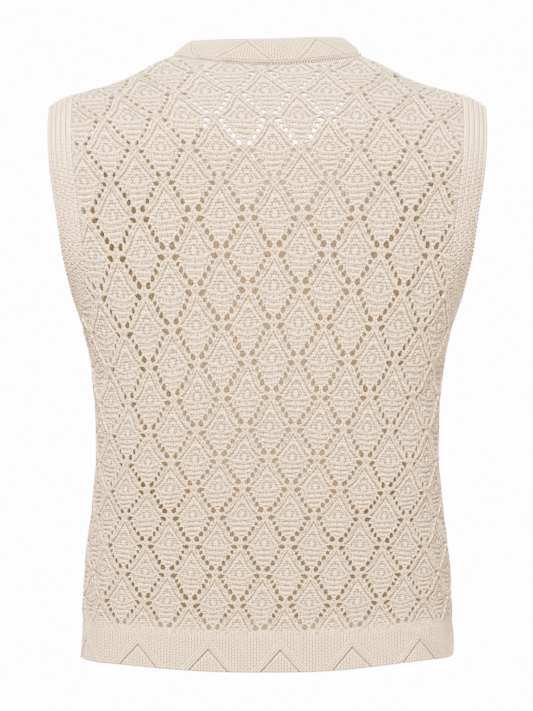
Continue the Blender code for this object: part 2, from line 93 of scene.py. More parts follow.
SECTIONS = (
    Section(-545, 166.2, 91, 96),
    Section(-490, 163.8, 91, 95),
    Section(-445, 160.9, 92, 94),
    Section(-400, 155.2, 94, 94),
    Section(-343, 152.0, 96, 96),
    Section(-310, 153.6, 98, 100),
    Section(-265, 159.3, 100, 106),
    Section(-220, 173.4, 102, 112),
    Section(-175, 193.2, 103, 115),
    Section(-136, 203.0, 103, 114),
    Section(-85, 209.5, 101, 108),
    Section(-44, 211.0, 98, 100),
    Section(30, 211.0, 96, 96),
)


class ShoulderPoint(NamedTuple):
    """A point of the shoulder seam, seen from behind."""

    across: float
    height: float


SHOULDER_LINE = (
    ShoulderPoint(0, 17),
    ShoulderPoint(50, 12),
    ShoulderPoint(85, 0),
    ShoulderPoint(103, -8),
    ShoulderPoint(124, -19),
    ShoulderPoint(145, -27),
    ShoulderPoint(167, -33),
    ShoulderPoint(189, -41),
    ShoulderPoint(197, -47),
    ShoulderPoint(220, -66),
)


class LatticeRow(NamedTuple):
    """A row where the diamond ribs cross, counted down from the neck."""

    row: float
    height: float
    pitch: float
    shift: float


LATTICE = (
    LatticeRow(-2, 17, 60.0, -7.0),
    LatticeRow(0, -20.6, 56.0, -5.2),
    LatticeRow(1, -41.2, 52.6, -1.2),
    LatticeRow(2, -64.5, 49.4, 2.6),
    LatticeRow(3, -92, 48.4, 5.0),
    LatticeRow(4, -119.5, 47.8, 6.1),
    LatticeRow(6, -181, 46.1, 6.2),
    LatticeRow(8, -243, 44.0, 5.1),
    LatticeRow(10, -305, 42.6, 3.4),
    LatticeRow(12, -359, 42.3, 0.7),
    LatticeRow(14, -409, 41.7, -1.8),
    LatticeRow(16, -460, 41.4, -3.9),
    LatticeRow(18, -511, 41.4, -6.2),
    LatticeRow(20, -561, 41.4, -8.5),
)


class LatticeLayout(NamedTuple):
    """How a face's lattice is larger, about a level, and how many columns it lies to the side."""

    scale: float
    level: float
    sideways: float


LAYOUTS = {Face.BACK: LatticeLayout(1.0, -270, 0.0), Face.FRONT: LatticeLayout(1.085, -270, 0.5)}


class DroopRow(NamedTuple):
    """How far the lattice's rows would droop far out to the left and right, at a level."""

    level: float
    left: float
    right: float


DROOP_ROWS = (
    DroopRow(-110, 0, 0),
    DroopRow(-170, 5, 1),
    DroopRow(-230, 16, 6),
    DroopRow(-290, 14, 1),
    DroopRow(-320, 14, 1),
    DroopRow(-352, 12, 8),
    DroopRow(-384, 8, 10),
    DroopRow(-415, 3, 6),
    DroopRow(-450, 0, 3),
    DroopRow(-490, 0, 0),
)


@dataclass
class Droop:
    """How the lattice's rows droop towards the sides, less again close to the side seams."""

    reach: float = 130.0
    ease: float = 0.4
    ease_from: float = 120.0
    ease_span: float = 60.0

    def __post_init__(self) -> None:
        """Makes the curves of the droop."""
        self.left = column_curve(DROOP_ROWS, "level", "left")
        self.right = column_curve(DROOP_ROWS, "level", "right")

    def at(self, arcs: Array, levels: Array) -> Array:
        """How far the rows that are at these levels in the middle droop at these arcs.

        Args:
            arcs: distances round the body.
            levels: heights of the rows at the middle line.

        Returns:
            The drop of each row at each arc.
        """
        most = np.where(arcs < 0, self.left(levels), self.right(levels))
        eased = 1.0 - self.ease * smooth((np.abs(arcs) - self.ease_from) / self.ease_span)
        return most * eased * arcs**2 / (arcs**2 + self.reach**2)

    def level(self, arcs: Array, heights: Array) -> Array:
        """The level in the middle of the rows that pass through these places.

        Args:
            arcs: distances round the body.
            heights: heights on the body.

        Returns:
            A height for each place.
        """
        levels = heights
        for _ in range(6):
            levels = heights + self.at(arcs, levels)
        return levels


class ArmholeLine(NamedTuple):
    """A line round the armhole: from the shoulder, past its middle level, to the underarm."""

    top_across: float
    top_height: float
    middle_height: float
    middle_from_side: float
    bottom_height: float


ARMBAND_EDGE = ArmholeLine(197, -47, -136, 64, -225)
ARMBAND_SEAM = ArmholeLine(175, -35.8, -138, 92, -247)


class Neckline(NamedTuple):
    """A neckline: the drop to its middle, its squareness and the share that it widens by."""

    drop: float
    power: float
    flare: float


NECKLINES = {Face.BACK: Neckline(14.4, 1.6, 0.0), Face.FRONT: Neckline(93.0, 4.0, 0.12)}


class BandTop(NamedTuple):
    """The neckband's top edge: its height at the middle and how much nearer the wearer it is."""

    height: float
    lean: float


BAND_TOPS = {Face.BACK: BandTop(10.5, 0.86), Face.FRONT: BandTop(-72.0, 0.96)}


class Fold(NamedTuple):
    """A soft ridge, or a trough where rise is below 0, from one place on the cloth to another."""

    arc: float
    height: float
    end_arc: float
    end_height: float
    width: float
    rise: float


FOLDS = {
    Face.BACK: (
        Fold(-172, -500, -160, -405, 9, -2.4),
        Fold(-150, -545, -148, -440, 8, 1.8),
        Fold(178, -520, 158, -380, 10, -2.2),
        Fold(-196, -262, -112, -322, 13, -2.2),
        Fold(198, -256, 120, -330, 12, -2.0),
        Fold(-150, -92, -128, -205, 12, -1.6),
        Fold(152, -88, 136, -215, 11, -1.8),
        Fold(-60, -352, 40, -378, 20, -1.4),
        Fold(70, -545, 62, -430, 12, 1.2),
    ),
    Face.FRONT: (
        Fold(168, -505, 156, -412, 10, -2.2),
        Fold(-176, -530, -158, -392, 10, -2.4),
        Fold(192, -258, 108, -318, 12, -2.2),
        Fold(-194, -264, -116, -334, 14, -2.0),
        Fold(146, -95, 120, -210, 12, -1.7),
        Fold(-150, -90, -132, -198, 12, -1.6),
        Fold(20, -372, 96, -396, 18, -1.3),
        Fold(-66, -545, -72, -440, 12, 1.2),
    ),
}


def smooth(t: Array) -> Array:
    """Eases a share from 0 to 1, held at both ends."""
    t = np.clip(t, 0.0, 1.0)
    return t * t * (3.0 - 2.0 * t)


def crease(distance: Array, width: float, depth: float) -> Array:
    """The height, below 0, of a soft crease at a distance from its middle."""
    return -depth * np.exp(-((distance / width) ** 2))


def bead(distance: Array, half_width: float, rise: float) -> Array:
    """The height of a round cord of yarn at a distance from its middle."""
    return rise * np.sqrt(np.clip(1.0 - (distance / half_width) ** 2, 0.0, None))


class SmoothCurve:
    """A smooth line through the points of a table."""

    def __init__(self, xs: Sequence[float], ys: Sequence[float]) -> None:
        """Keeps the points in order, with the slope at each.

        Args:
            xs: the key column.
            ys: the column that the line goes through.
        """
        order = np.argsort(xs)
        self.xs = np.asarray(xs, float)[order]
        self.ys = np.asarray(ys, float)[order]
        self.slopes = np.gradient(self.ys, self.xs)

    def __call__(self, x: Array | float) -> Array:
        """The line's value at each x, held past both ends.

        Args:
            x: the places along the key column.

        Returns:
            A value for each place.
        """
        x = np.clip(x, self.xs[0], self.xs[-1])
        i = np.clip(np.searchsorted(self.xs, x, side="right") - 1, 0, len(self.xs) - 2)
        span = self.xs[i + 1] - self.xs[i]
        t = (x - self.xs[i]) / span
        start = (2 * t**3 - 3 * t**2 + 1) * self.ys[i]
        end = (3 * t**2 - 2 * t**3) * self.ys[i + 1]
        leave = (t**3 - 2 * t**2 + t) * span * self.slopes[i]
        arrive = (t**3 - t**2) * span * self.slopes[i + 1]
        return start + end + leave + arrive


def column_curve(table: Sequence[Any], key: str, column: str) -> SmoothCurve:
    """The smooth line of one column of a table over its key column."""
    xs = [getattr(row, key) for row in table]
    return SmoothCurve(xs, [getattr(row, column) for row in table])


def fine_rib(run: Array, high: Array) -> Array:
    """How far fine rib stands out at a distance along it and a height, where its stitches bulge."""
    bulge = 0.8 + 0.2 * np.cos(2 * math.pi * high / WALE_ROW + 2.2 * np.sin(run * 0.9))
    return 1.1 * np.abs(np.cos(math.pi * run / RIB_PITCH)) ** 0.8 * bulge - 0.2


def unit(vectors: Array) -> Array:
    """The vectors at length 1."""
    return vectors / np.maximum(np.linalg.norm(vectors, axis=-1, keepdims=True), 1e-9)


@dataclass
class BodyForm:
    """The shape that the cloth takes as worn. A place on it is an arc and a height.

    The arc is the distance round from the middle, before the shoulders roll in.
    """

    power: float = 3.0
    neck_roll: float = 120.0
    tip_roll: float = 80.0
    roll_power: float = 0.75
    armhole_power: float = 1.6
    neck_half_width: float = 85.0
    height_step: float = 1.5
    steps: int = 256
    lowest: float = -562.0
    highest: float = 40.0
    fold_fade: float = 22.0
    round_width: float = 170.0
    round_depth: float = 98.0
    left_lift: float = 5.5
    right_lift: float = 8.3
    lift_reach: float = 150.0
    lift_below: float = -430.0
    lift_span: float = 110.0
    rings: dict[Face, tuple[Array, Array, Array]] = field(default_factory=dict)

    def __post_init__(self) -> None:
        """Works out the level cuts of both faces."""
        self.heights = np.arange(self.lowest, self.highest, self.height_step)
        self.shoulder = column_curve(SHOULDER_LINE, "across", "height")
        half_width = column_curve(SECTIONS, "height", "half_width")(self.heights)[:, None]
        angles = np.linspace(0.0, math.pi / 2, 361)
        shares = np.linspace(0.0, 1.0, self.steps + 1)
        for face, column in ((Face.BACK, "back_depth"), (Face.FRONT, "front_depth")):
            full_depth = column_curve(SECTIONS, "height", column)(self.heights)[:, None]
            across = (np.sin(angles) / half_width) ** self.power
            depth = (np.cos(angles) / full_depth) ** self.power
            reach = (across + depth) ** (-1.0 / self.power)
            xs, ys = reach * np.sin(angles), reach * np.cos(angles)
            lengths = np.hypot(np.diff(xs, axis=1), np.diff(ys, axis=1))
            arcs = np.concatenate([np.zeros((len(xs), 1)), np.cumsum(lengths, axis=1)], axis=1)
            even = [np.interp(shares * a[-1], a, x) for a, x in zip(arcs, xs)]
            deep = [np.interp(shares * a[-1], a, y) for a, y in zip(arcs, ys)]
            self.rings[face] = (arcs[:, -1], np.array(even), np.array(deep))

    def level(self, heights: Array) -> tuple[Array, Array]:
        """The table row under each height, and the share of the way to the next."""
        rows = np.clip((heights - self.heights[0]) / self.height_step, 0, len(self.heights) - 1.001)
        return rows.astype(int), rows - rows.astype(int)

    def side(self, heights: Array, face: Face) -> Array:
        """The arc at the side of the body.

        Args:
            heights: heights on the body.
            face: the face.

        Returns:
            An arc for each height.
        """
        low, part = self.level(heights)
        sides = self.rings[face][0]
        return sides[low] * (1 - part) + sides[low + 1] * part

    def section(self, arcs: Array, heights: Array, face: Face) -> tuple[Array, Array]:
        """Distance across and full depth at each place.

        Args:
            arcs: distances round the body.
            heights: heights on the body.
            face: the face.

        Returns:
            Two arrays, one value for each place.
        """
        low, part = self.level(heights)
        share = np.clip(np.abs(arcs) / self.side(heights, face), 0.0, 1.0) * self.steps
        column = np.minimum(share.astype(int), self.steps - 1)
        over = share - column
        found = []
        for grid in self.rings[face][1:]:
            lower = grid[low, column] * (1 - over) + grid[low, column + 1] * over
            upper = grid[low + 1, column] * (1 - over) + grid[low + 1, column + 1] * over
            found.append(lower * (1 - part) + upper * part)
        return found[0], found[1]

    def arc_of(self, across: float, height: float, face: Face) -> float:
        """The arc at a distance across.

        Args:
            across: the distance, below 0 to the left.
            height: the height.
            face: the face.

        Returns:
            The arc, with the distance's sign.
        """
        low, part = self.level(np.array(height))
        sides, xs, _ = self.rings[face]
        row = xs[low] * (1 - part) + xs[low + 1] * part
        shares = np.linspace(0.0, 1.0, self.steps + 1)
        side = float(self.side(np.array(height), face))
        return math.copysign(float(np.interp(abs(across), row, shares)) * side, across)

    def fold_rise(self, arcs: Array, heights: Array, face: Face) -> Array:
        """How far the cloth's soft folds stand out or sink in.

        Args:
            arcs: distances round the body.
            heights: heights on the body.
            face: the face.

        Returns:
            The sum of all folds at each place.
        """
        total = np.zeros_like(arcs)
        for fold in FOLDS[face]:
            run = np.array([fold.end_arc - fold.arc, fold.end_height - fold.height])
            length = float(run @ run)
            share = ((arcs - fold.arc) * run[0] + (heights - fold.height) * run[1]) / length
            held = np.clip(share, 0.0, 1.0)
            gap = np.hypot(arcs - fold.arc - held * run[0], heights - fold.height - held * run[1])
            taper = 0.35 + 0.65 * np.sin(math.pi * np.clip(held, 0.08, 0.92))
            total += fold.rise * taper * np.exp(-((gap / fold.width) ** 2))
        return total

    def place(self, arcs: Array, heights: Array, face: Face) -> Array:
        """The points of the cloth's outer face at these places.

        Args:
            arcs: distances round the body.
            heights: heights on the body.
            face: the face.

        Returns:
            A point in millimetres for each place.
        """
        arcs, heights = np.broadcast_arrays(np.asarray(arcs, float), np.asarray(heights, float))
        across, full = self.section(arcs, heights, face)
        drop = np.maximum(0.0, self.shoulder(across) - heights)
        lean = np.minimum(1.0, across / ARMBAND_EDGE.top_across)
        roll = self.neck_roll + (self.tip_roll - self.neck_roll) * lean
        depth = full * np.sin(math.pi / 2 * np.minimum(1.0, drop / roll) ** self.roll_power)
        x = np.copysign(across, arcs)
        y = face.value * depth
        rise = self.fold_rise(arcs, heights, face) * smooth(depth / self.fold_fade)
        out_x = x * np.abs(x) / self.round_width**3
        out = unit(np.stack([out_x, y * depth / self.round_depth**3], axis=-1))
        lift = np.where(arcs > 0, self.right_lift, self.left_lift)
        lift = lift * smooth(np.abs(x) / self.lift_reach) ** 1.6
        z = heights + lift * smooth((self.lift_below - heights) / self.lift_span)
        return np.stack([x + out[..., 0] * rise, y + out[..., 1] * rise, z], axis=-1)

    def normal(self, arcs: Array, heights: Array, face: Face) -> Array:
        """The way that the cloth's outer face looks. At a seam it lies in the seam's plane.

        Args:
            arcs: distances round the body.
            heights: heights on the body.
            face: the face.

        Returns:
            A vector of length 1 for each place.
        """
        arcs, heights = np.broadcast_arrays(np.asarray(arcs, float), np.asarray(heights, float))
        at_seam = np.abs(self.place(arcs, heights, face)[..., 1]) < SEAM_GAP
        across, _ = self.section(arcs, heights, face)
        heights = np.minimum(heights, self.shoulder(across) - 1.5)
        side = self.side(heights, face)
        low, high = np.maximum(arcs - 1.0, -side), np.minimum(arcs + 1.0, side)
        around = self.place(high, heights, face) - self.place(low, heights, face)
        upward = self.place(arcs, heights + 1.0, face) - self.place(arcs, heights - 1.0, face)
        normal = np.cross(around, upward) * -face.value
        normal[..., 1] = np.where(at_seam, 0.0, normal[..., 1])
        return unit(normal)

    def armhole(self, line: ArmholeLine, angle: float, face: Face) -> tuple[float, float]:
        """Arc and height on an armhole line: 0 is the shoulder and pi is the underarm.

        Args:
            line: the line round the armhole.
            angle: the turn round the armhole, in radians.
            face: the face.

        Returns:
            The arc and the height.
        """
        if angle <= math.pi / 2:
            rise = line.top_height - line.middle_height
            height = line.middle_height + rise * math.cos(angle)
            level = np.array(line.middle_height)
            middle_arc = float(self.side(level, face)) - line.middle_from_side
            middle = self.section(np.array(middle_arc), level, face)[0]
            fall = ((line.top_height - height) / rise) ** self.armhole_power
            across = line.top_across + (float(middle) - line.top_across) * fall
            return self.arc_of(across, height, face), height
        height = line.middle_height + (line.middle_height - line.bottom_height) * math.cos(angle)
        side = float(self.side(np.array(height), face))
        return side - line.middle_from_side * math.sin(angle), height

    def neckline(self, angle: float, face: Face) -> tuple[float, float]:
        """Across and height on the neckline: 0 is the middle, pi / 2 the end of the shoulder.

        Args:
            angle: the turn round the neckline, in radians.
            face: the face.

        Returns:
            The distance across and the height.
        """
        line = NECKLINES[face]
        across = abs(math.sin(angle)) / self.neck_half_width
        down = math.cos(angle) / line.drop
        reach = (across**line.power + down**line.power) ** (-1.0 / line.power)
        share = reach * down
        widened = 1.0 + line.flare * 4 * share * (1.0 - share)
        return widened * reach * math.sin(angle), -share * line.drop

    def neckline_places(self, face: Face, steps: int) -> Array:
        """Across, height and arc at evenly spaced places from one shoulder to the other.

        Args:
            face: the face.
            steps: how many gaps there are between the places.

        Returns:
            A row of three values for each place.
        """
        rows = []
        for angle in np.linspace(-math.pi / 2, math.pi / 2, 721):
            across, height = self.neckline(angle, face)
            rows.append((across, height, self.arc_of(across, height, face)))
        fine = np.array(rows)
        lengths = np.linalg.norm(np.diff(self.place(fine[:, 2], fine[:, 1], face), axis=0), axis=1)
        run = np.concatenate([[0.0], np.cumsum(lengths)])
        even = np.linspace(0.0, run[-1], steps + 1)
        return np.stack([np.interp(even, run, fine[:, k]) for k in range(3)], axis=1)


class Eyelet(NamedTuple):
    """An eyelet of one half of a diamond: its middle, in half pitches across and half diamonds
    down from the top crossing, its length and width, its lean and how many points round it."""

    across: float
    down: float
    length: float
    width: float
    lean: float
    points: int


EYELETS = (
    Eyelet(0.73, 1.055, 7.6, 4.2, -62, 10),
    Eyelet(0.63, 1.235, 4.9, 3.4, -38, 8),
    Eyelet(0.51, 1.40, 5.9, 4.3, -16, 8),
    Eyelet(0.365, 1.58, 6.2, 4.5, -8, 8),
    Eyelet(0.19, 1.775, 6.8, 5.2, 12, 12),
)

CLOSED_EYELETS = {Face.BACK: (), Face.FRONT: (2,)}


class PurlRidge(NamedTuple):
    """A wavy purl ridge across a diamond: half diamonds down, and its half width."""

    down: float
    half_width: float


PURL_RIDGES = (
    PurlRidge(1.115, 10.8),
    PurlRidge(1.275, 9.6),
    PurlRidge(1.445, 7.3),
    PurlRidge(1.61, 4.2),
)


@dataclass(frozen=True)
class LaceRepeat:
    """One diamond of the lace, laid flat. Points are worked out for its right half."""

    half_pitch: float = 22.0
    half_row: float = 28.0
    stitch: float = STITCH
    rib_rise: float = 2.0
    rib_edge: float = 2.35
    wale: float = 1.15
    wale_half_width: float = 1.27
    leaf_rise: float = 1.6
    leaf_half_width: float = 1.05
    leaf_offset: float = 4.7
    leaf_groove: float = 3.1
    leaf_depth: float = 1.5
    leaf_top: float = 4.5
    leaf_foot: float = 29.0
    bobble_down: float = 26.8
    bobble_across: float = 3.9
    bobble_long: float = 4.7
    bobble_rise: float = 1.5
    bobble_depth: float = 1.8
    core_rise: float = 1.7
    bar_down: float = 13.2
    bar_half: float = 4.4
    bar_rise: float = 1.5
    bar_half_width: float = 1.15
    under_bar: float = 1.7
    ridge_rise: float = 1.7
    ridge_half_width: float = 1.4
    ridge_sag: float = 0.02
    ridge_wave: float = 0.65
    under_ridge: float = 1.9
    ridge_depth: float = 1.9
    knot_down: float = 1.745
    knot_rise: float = 1.5
    lip_rise: float = 0.9
    eyelet_taper: float = 0.28
    eyelet_size: float = 1.0
    ground: float = -0.1
    axis_count: int = 44
    spacing: float = 0.72
    rib_points: tuple[float, ...] = (0.0, 1.15, 0.55, 1.85, 2.5)
    ring_points: tuple[float, ...] = (1.0, 0.72, 1.42, 0.4, 1.2, 1.7)
    ridge_points: tuple[float, ...] = (0.0, 1.9, -1.0, 1.0, 2.8)
    bar_points: tuple[float, ...] = (0.0, -1.1, 1.0, 1.7)
    leaf_points: tuple[float, ...] = (3.1, 4.7, 3.9, 5.5)

    def rib_line(self, t: Array) -> Array:
        """How far across the rib is, at this share of the way to the next crossing."""
        return self.half_pitch * (0.75 * t + 0.25 * t**6)

    def rib_lean(self, t: Array) -> Array:
        """The cosine of the rib's lean from upright."""
        slope = self.half_pitch / self.half_row * (0.75 + 1.5 * t**5)
        return 1.0 / np.sqrt(1.0 + slope**2)

    def own_half(self, flat: Array) -> tuple[Array, Array]:
        """Folds points of the lattice plane into the right half of one diamond.

        Args:
            flat: points of the lattice plane.

        Returns:
            Distance across from the diamond's middle, and down from its top crossing.
        """
        pitch, long = 2 * self.half_pitch, 2 * self.half_row
        across = np.abs(np.mod(flat[:, 0] + self.half_pitch, pitch) - self.half_pitch)
        down = np.mod(-flat[:, 1], long)
        upper = down < self.half_row
        line = self.rib_line(np.where(upper, down, down - self.half_row) / self.half_row)
        other = across > np.where(upper, line, self.half_pitch - line)
        across = np.where(other, self.half_pitch - across, across)
        return across, np.where(other, np.mod(down - self.half_row, long), down)

    def rib_place(self, across: Array, down: Array) -> tuple[Array, Array]:
        """Distance off the nearest rib's middle line, inwards, and distance along it.

        Args:
            across: distances from the diamond's middle.
            down: distances below its top crossing.

        Returns:
            The two distances of each point.
        """
        upper = down < self.half_row
        t = np.clip(np.where(upper, down, down - self.half_row) / self.half_row, 0.0, 1.0)
        line = np.where(upper, self.rib_line(t), self.half_pitch - self.rib_line(t))
        fine = np.linspace(0.0, 1.0, 65)
        speed = self.half_row / self.rib_lean(fine)
        run = np.concatenate([[0.0], np.cumsum((speed[1:] + speed[:-1]) / 2 / 64)])
        return (line - across) * self.rib_lean(t), np.interp(t, fine, run)

    def relief(self, across: Array, down: Array) -> Array:
        """How far the knit stands out from the cloth's middle level.

        Args:
            across: distances from the diamond's middle.
            down: distances below its top crossing.

        Returns:
            A height for each point.
        """
        off, along = self.rib_place(across, down)
        upper = down < self.half_row
        t = np.clip(np.where(upper, down, down - self.half_row) / self.half_row, 0.0, 1.0)
        far = np.where(upper, self.rib_line(t), self.half_pitch - self.rib_line(t)) + across
        nearest = np.minimum(np.abs(off), np.abs(far) * self.rib_lean(t))
        wave = 2 * math.pi / self.stitch
        rise = self.ground + 0.15 * np.cos(wave * across) * np.cos(wave * down)
        rise = np.maximum(rise, bead(nearest - self.wale, self.wale_half_width, self.rib_rise))
        leaf = smooth((down - self.leaf_top) / 3.0) * smooth((self.leaf_foot - down) / 5.0)
        dots = 0.55 + 0.45 * np.sin(2 * math.pi * along / WALE_ROW)
        cord = bead(off - self.leaf_offset, self.leaf_half_width, self.leaf_rise)
        rise = np.maximum(rise, cord * leaf)
        rise += crease(off - self.leaf_groove, 0.8, self.leaf_depth) * dots * leaf
        ring = np.hypot(across / self.bobble_across, (down - self.bobble_down) / self.bobble_long)
        turn = np.arctan2(across, self.bobble_down - down)
        lumps = 0.7 + 0.3 * np.cos(9 * turn)
        rise = np.maximum(rise, bead(ring - 1.42, 0.34, self.bobble_rise) * lumps)
        rise = np.maximum(rise, bead(ring, 0.75, self.core_rise))
        rise += crease(ring - 1.0, 0.2, self.bobble_depth) * (0.75 - 0.25 * np.cos(5 * turn))
        bar = bead(down - self.bar_down, self.bar_half_width, self.bar_rise)
        rise = np.maximum(rise, bar * smooth((self.bar_half + 0.6 - across) / 1.2))
        under = crease(down - self.bar_down - self.under_bar, 0.6, 0.55)
        rise += under * (across < self.bar_half)
        for ridge in PURL_RIDGES:
            middle = ridge.down * self.half_row - self.ridge_sag * across**2
            wavy = middle + self.ridge_wave * np.cos(wave * across)
            reach = smooth((ridge.half_width + 0.5 - across) / 1.4)
            beads = 0.62 + 0.38 * np.cos(wave * across)
            cord = bead(down - wavy, self.ridge_half_width, self.ridge_rise)
            rise = np.maximum(rise, cord * beads * reach)
            rise += crease(down - wavy - self.under_ridge, 0.8, self.ridge_depth) * reach
        for eyelet in EYELETS:
            ring = self.eyelet_ring(eyelet, across, down)
            lip = bead((ring - 1.0) * eyelet.width / 2 - 0.5, 0.85, self.lip_rise)
            rise = np.maximum(rise, lip)
        knot = np.hypot(across / 1.6, (down - self.knot_down * self.half_row) / 1.7)
        return np.maximum(rise, bead(knot, 1.0, self.knot_rise))

    def on_ridge(self, across: Array, down: Array) -> Array:
        """Whether each point is on a purl ridge or the small bar.

        Args:
            across: distances from the diamond's middle.
            down: distances below its top crossing.

        Returns:
            True or false for each point.
        """
        found = (np.abs(down - self.bar_down) < 1.1) & (across < self.bar_half)
        for ridge in PURL_RIDGES:
            middle = ridge.down * self.half_row - self.ridge_sag * across**2
            found |= (np.abs(down - middle) < 1.2) & (across < ridge.half_width)
        return found

    def eyelet_ring(self, eyelet: Eyelet, across: Array, down: Array) -> Array:
        """1 on the eyelet's edge, less inside it and more outside.

        Args:
            eyelet: the eyelet.
            across: distances from the diamond's middle.
            down: distances below its top crossing.

        Returns:
            A share of the eyelet's size for each point.
        """
        lean = math.radians(eyelet.lean)
        right, low = across - eyelet.across * self.half_pitch, down - eyelet.down * self.half_row
        up_axis = right * math.sin(lean) - low * math.cos(lean)
        side_axis = right * math.cos(lean) + low * math.sin(lean)
        share = up_axis / (eyelet.length / 2 * self.eyelet_size)
        narrow = 1.0 - self.eyelet_taper * np.clip(share, -1.5, 1.5)
        return np.hypot(share, side_axis / (eyelet.width / 2 * self.eyelet_size * narrow))

    def eyelet_points(self, eyelet: Eyelet, grow: float) -> Array:
        """Points round an eyelet, this far outside its edge.

        Args:
            eyelet: the eyelet.
            grow: how far outside its edge the points are.

        Returns:
            The points, from its top crossing.
        """
        lean = math.radians(eyelet.lean)
        turn = np.arange(eyelet.points) / eyelet.points * 2 * math.pi
        up_axis = np.cos(turn) * (eyelet.length / 2 * self.eyelet_size + grow)
        narrow = 1.0 - self.eyelet_taper * np.cos(turn)
        side_axis = np.sin(turn) * (eyelet.width / 2 * self.eyelet_size + grow) * narrow
        right = up_axis * math.sin(lean) + side_axis * math.cos(lean)
        low = side_axis * math.sin(lean) - up_axis * math.cos(lean)
        middle = (eyelet.across * self.half_pitch, eyelet.down * self.half_row)
        return np.stack([right + middle[0], low + middle[1]], axis=1)

    def in_eyelet(self, across: Array, down: Array, size: Array) -> Array:
        """The number of the eyelet that each point is in, or -1, for eyelets of these sizes.

        Args:
            across: distances from the diamond's middle.
            down: distances below its top crossing.
            size: the share of its full size that an eyelet has at each point.

        Returns:
            A number for each point.
        """
        found = np.full(len(across), -1)
        for number, eyelet in enumerate(EYELETS):
            found[self.eyelet_ring(eyelet, across, down) < 0.918 * size] = number
        return found

    def beside_rib(self, offset: float, spacing: float, lower: bool) -> Array:
        """Points at one distance inside the rib on the diamond's upper or lower edge.

        Args:
            offset: the distance inside the rib's middle line.
            spacing: the distance between points.
            lower: whether the points are on the lower edge.

        Returns:
            The points, from its top crossing.
        """
        count = int(38.0 / spacing)
        t = (np.arange(count) + 0.5) / count
        lean = self.rib_lean(t)
        across = self.rib_line(t) - offset * lean
        down = self.half_row * t + offset * np.sqrt(1.0 - lean**2)
        if lower:
            across = self.half_pitch - self.rib_line(t) - offset * lean
            down = self.half_row * (1.0 + t) - offset * np.sqrt(1.0 - lean**2)
        return np.stack([across, down], axis=1)

    def axis_points(self) -> Array:
        """Points down the middle of a diamond, from its top crossing."""
        return np.arange(self.axis_count) / self.axis_count * 2 * self.half_row

    def points(self) -> Array:
        """Points that carry the relief of the right half, the more telling ones first.

        Returns:
            The points, from its top crossing.
        """
        groups = [self.eyelet_points(eyelet, 0.75) for eyelet in EYELETS]
        groups += [self.beside_rib(offset, 2.6, False) for offset in self.rib_points]
        groups += [self.beside_rib(offset, 2.6, True) for offset in self.rib_points[1:]]
        turns = np.radians(np.arange(12, 180, 26))
        for ring in self.ring_points:
            right = np.sin(turns) * self.bobble_across * ring
            low = self.bobble_down - np.cos(turns) * self.bobble_long * ring
            groups.append(np.stack([right, low], axis=1))
        for ridge in PURL_RIDGES:
            across = np.arange(0.6, ridge.half_width + 0.5, self.stitch / 2)
            middle = ridge.down * self.half_row - self.ridge_sag * across**2
            for low in self.ridge_points:
                groups.append(np.stack([across, middle + low], axis=1))
        across = np.arange(0.9, self.bar_half + 1.0, 1.2)
        for low in self.bar_points:
            groups.append(np.stack([across, across * 0 + self.bar_down + low], axis=1))
        for offset in self.leaf_points:
            side = self.beside_rib(offset, 1.9, False)
            groups.append(side[(side[:, 1] > 5.0) & (side[:, 1] < 28.0)])
        ticks = np.arange(0.9, self.half_pitch, self.stitch)
        rows = np.arange(0.7, 2 * self.half_row, self.stitch)
        groups.append(np.stack(np.meshgrid(ticks, rows), axis=-1).reshape(-1, 2))
        return self.thinned(np.concatenate(groups))

    def thinned(self, points: Array) -> Array:
        """The points less those outside the half diamond, in an eyelet or too near another.

        Args:
            points: the points.

        Returns:
            The points that are kept.
        """
        upper = points[:, 1] < self.half_row
        t = np.where(upper, points[:, 1], points[:, 1] - self.half_row) / self.half_row
        line = self.rib_line(np.clip(t, 0.0, 1.0))
        edge = np.where(upper, line, self.half_pitch - line)
        inside = (points[:, 0] > 0.42) & (points[:, 0] < 21.6)
        inside &= (points[:, 1] > 0.0) & (points[:, 1] < 2 * self.half_row)
        gap = np.where(upper, 0.0, 0.3)
        inside &= points[:, 0] <= edge - gap + 1e-6
        for eyelet in EYELETS:
            ring = self.eyelet_ring(eyelet, points[:, 0], points[:, 1])
            inside &= (ring - 1.0) * eyelet.width / 2 > 0.35
        kept = np.empty((0, 2))
        for point in points[inside]:
            if not len(kept) or np.hypot(*(kept - point).T).min() > self.spacing:
                kept = np.vstack([kept, point])
        return kept


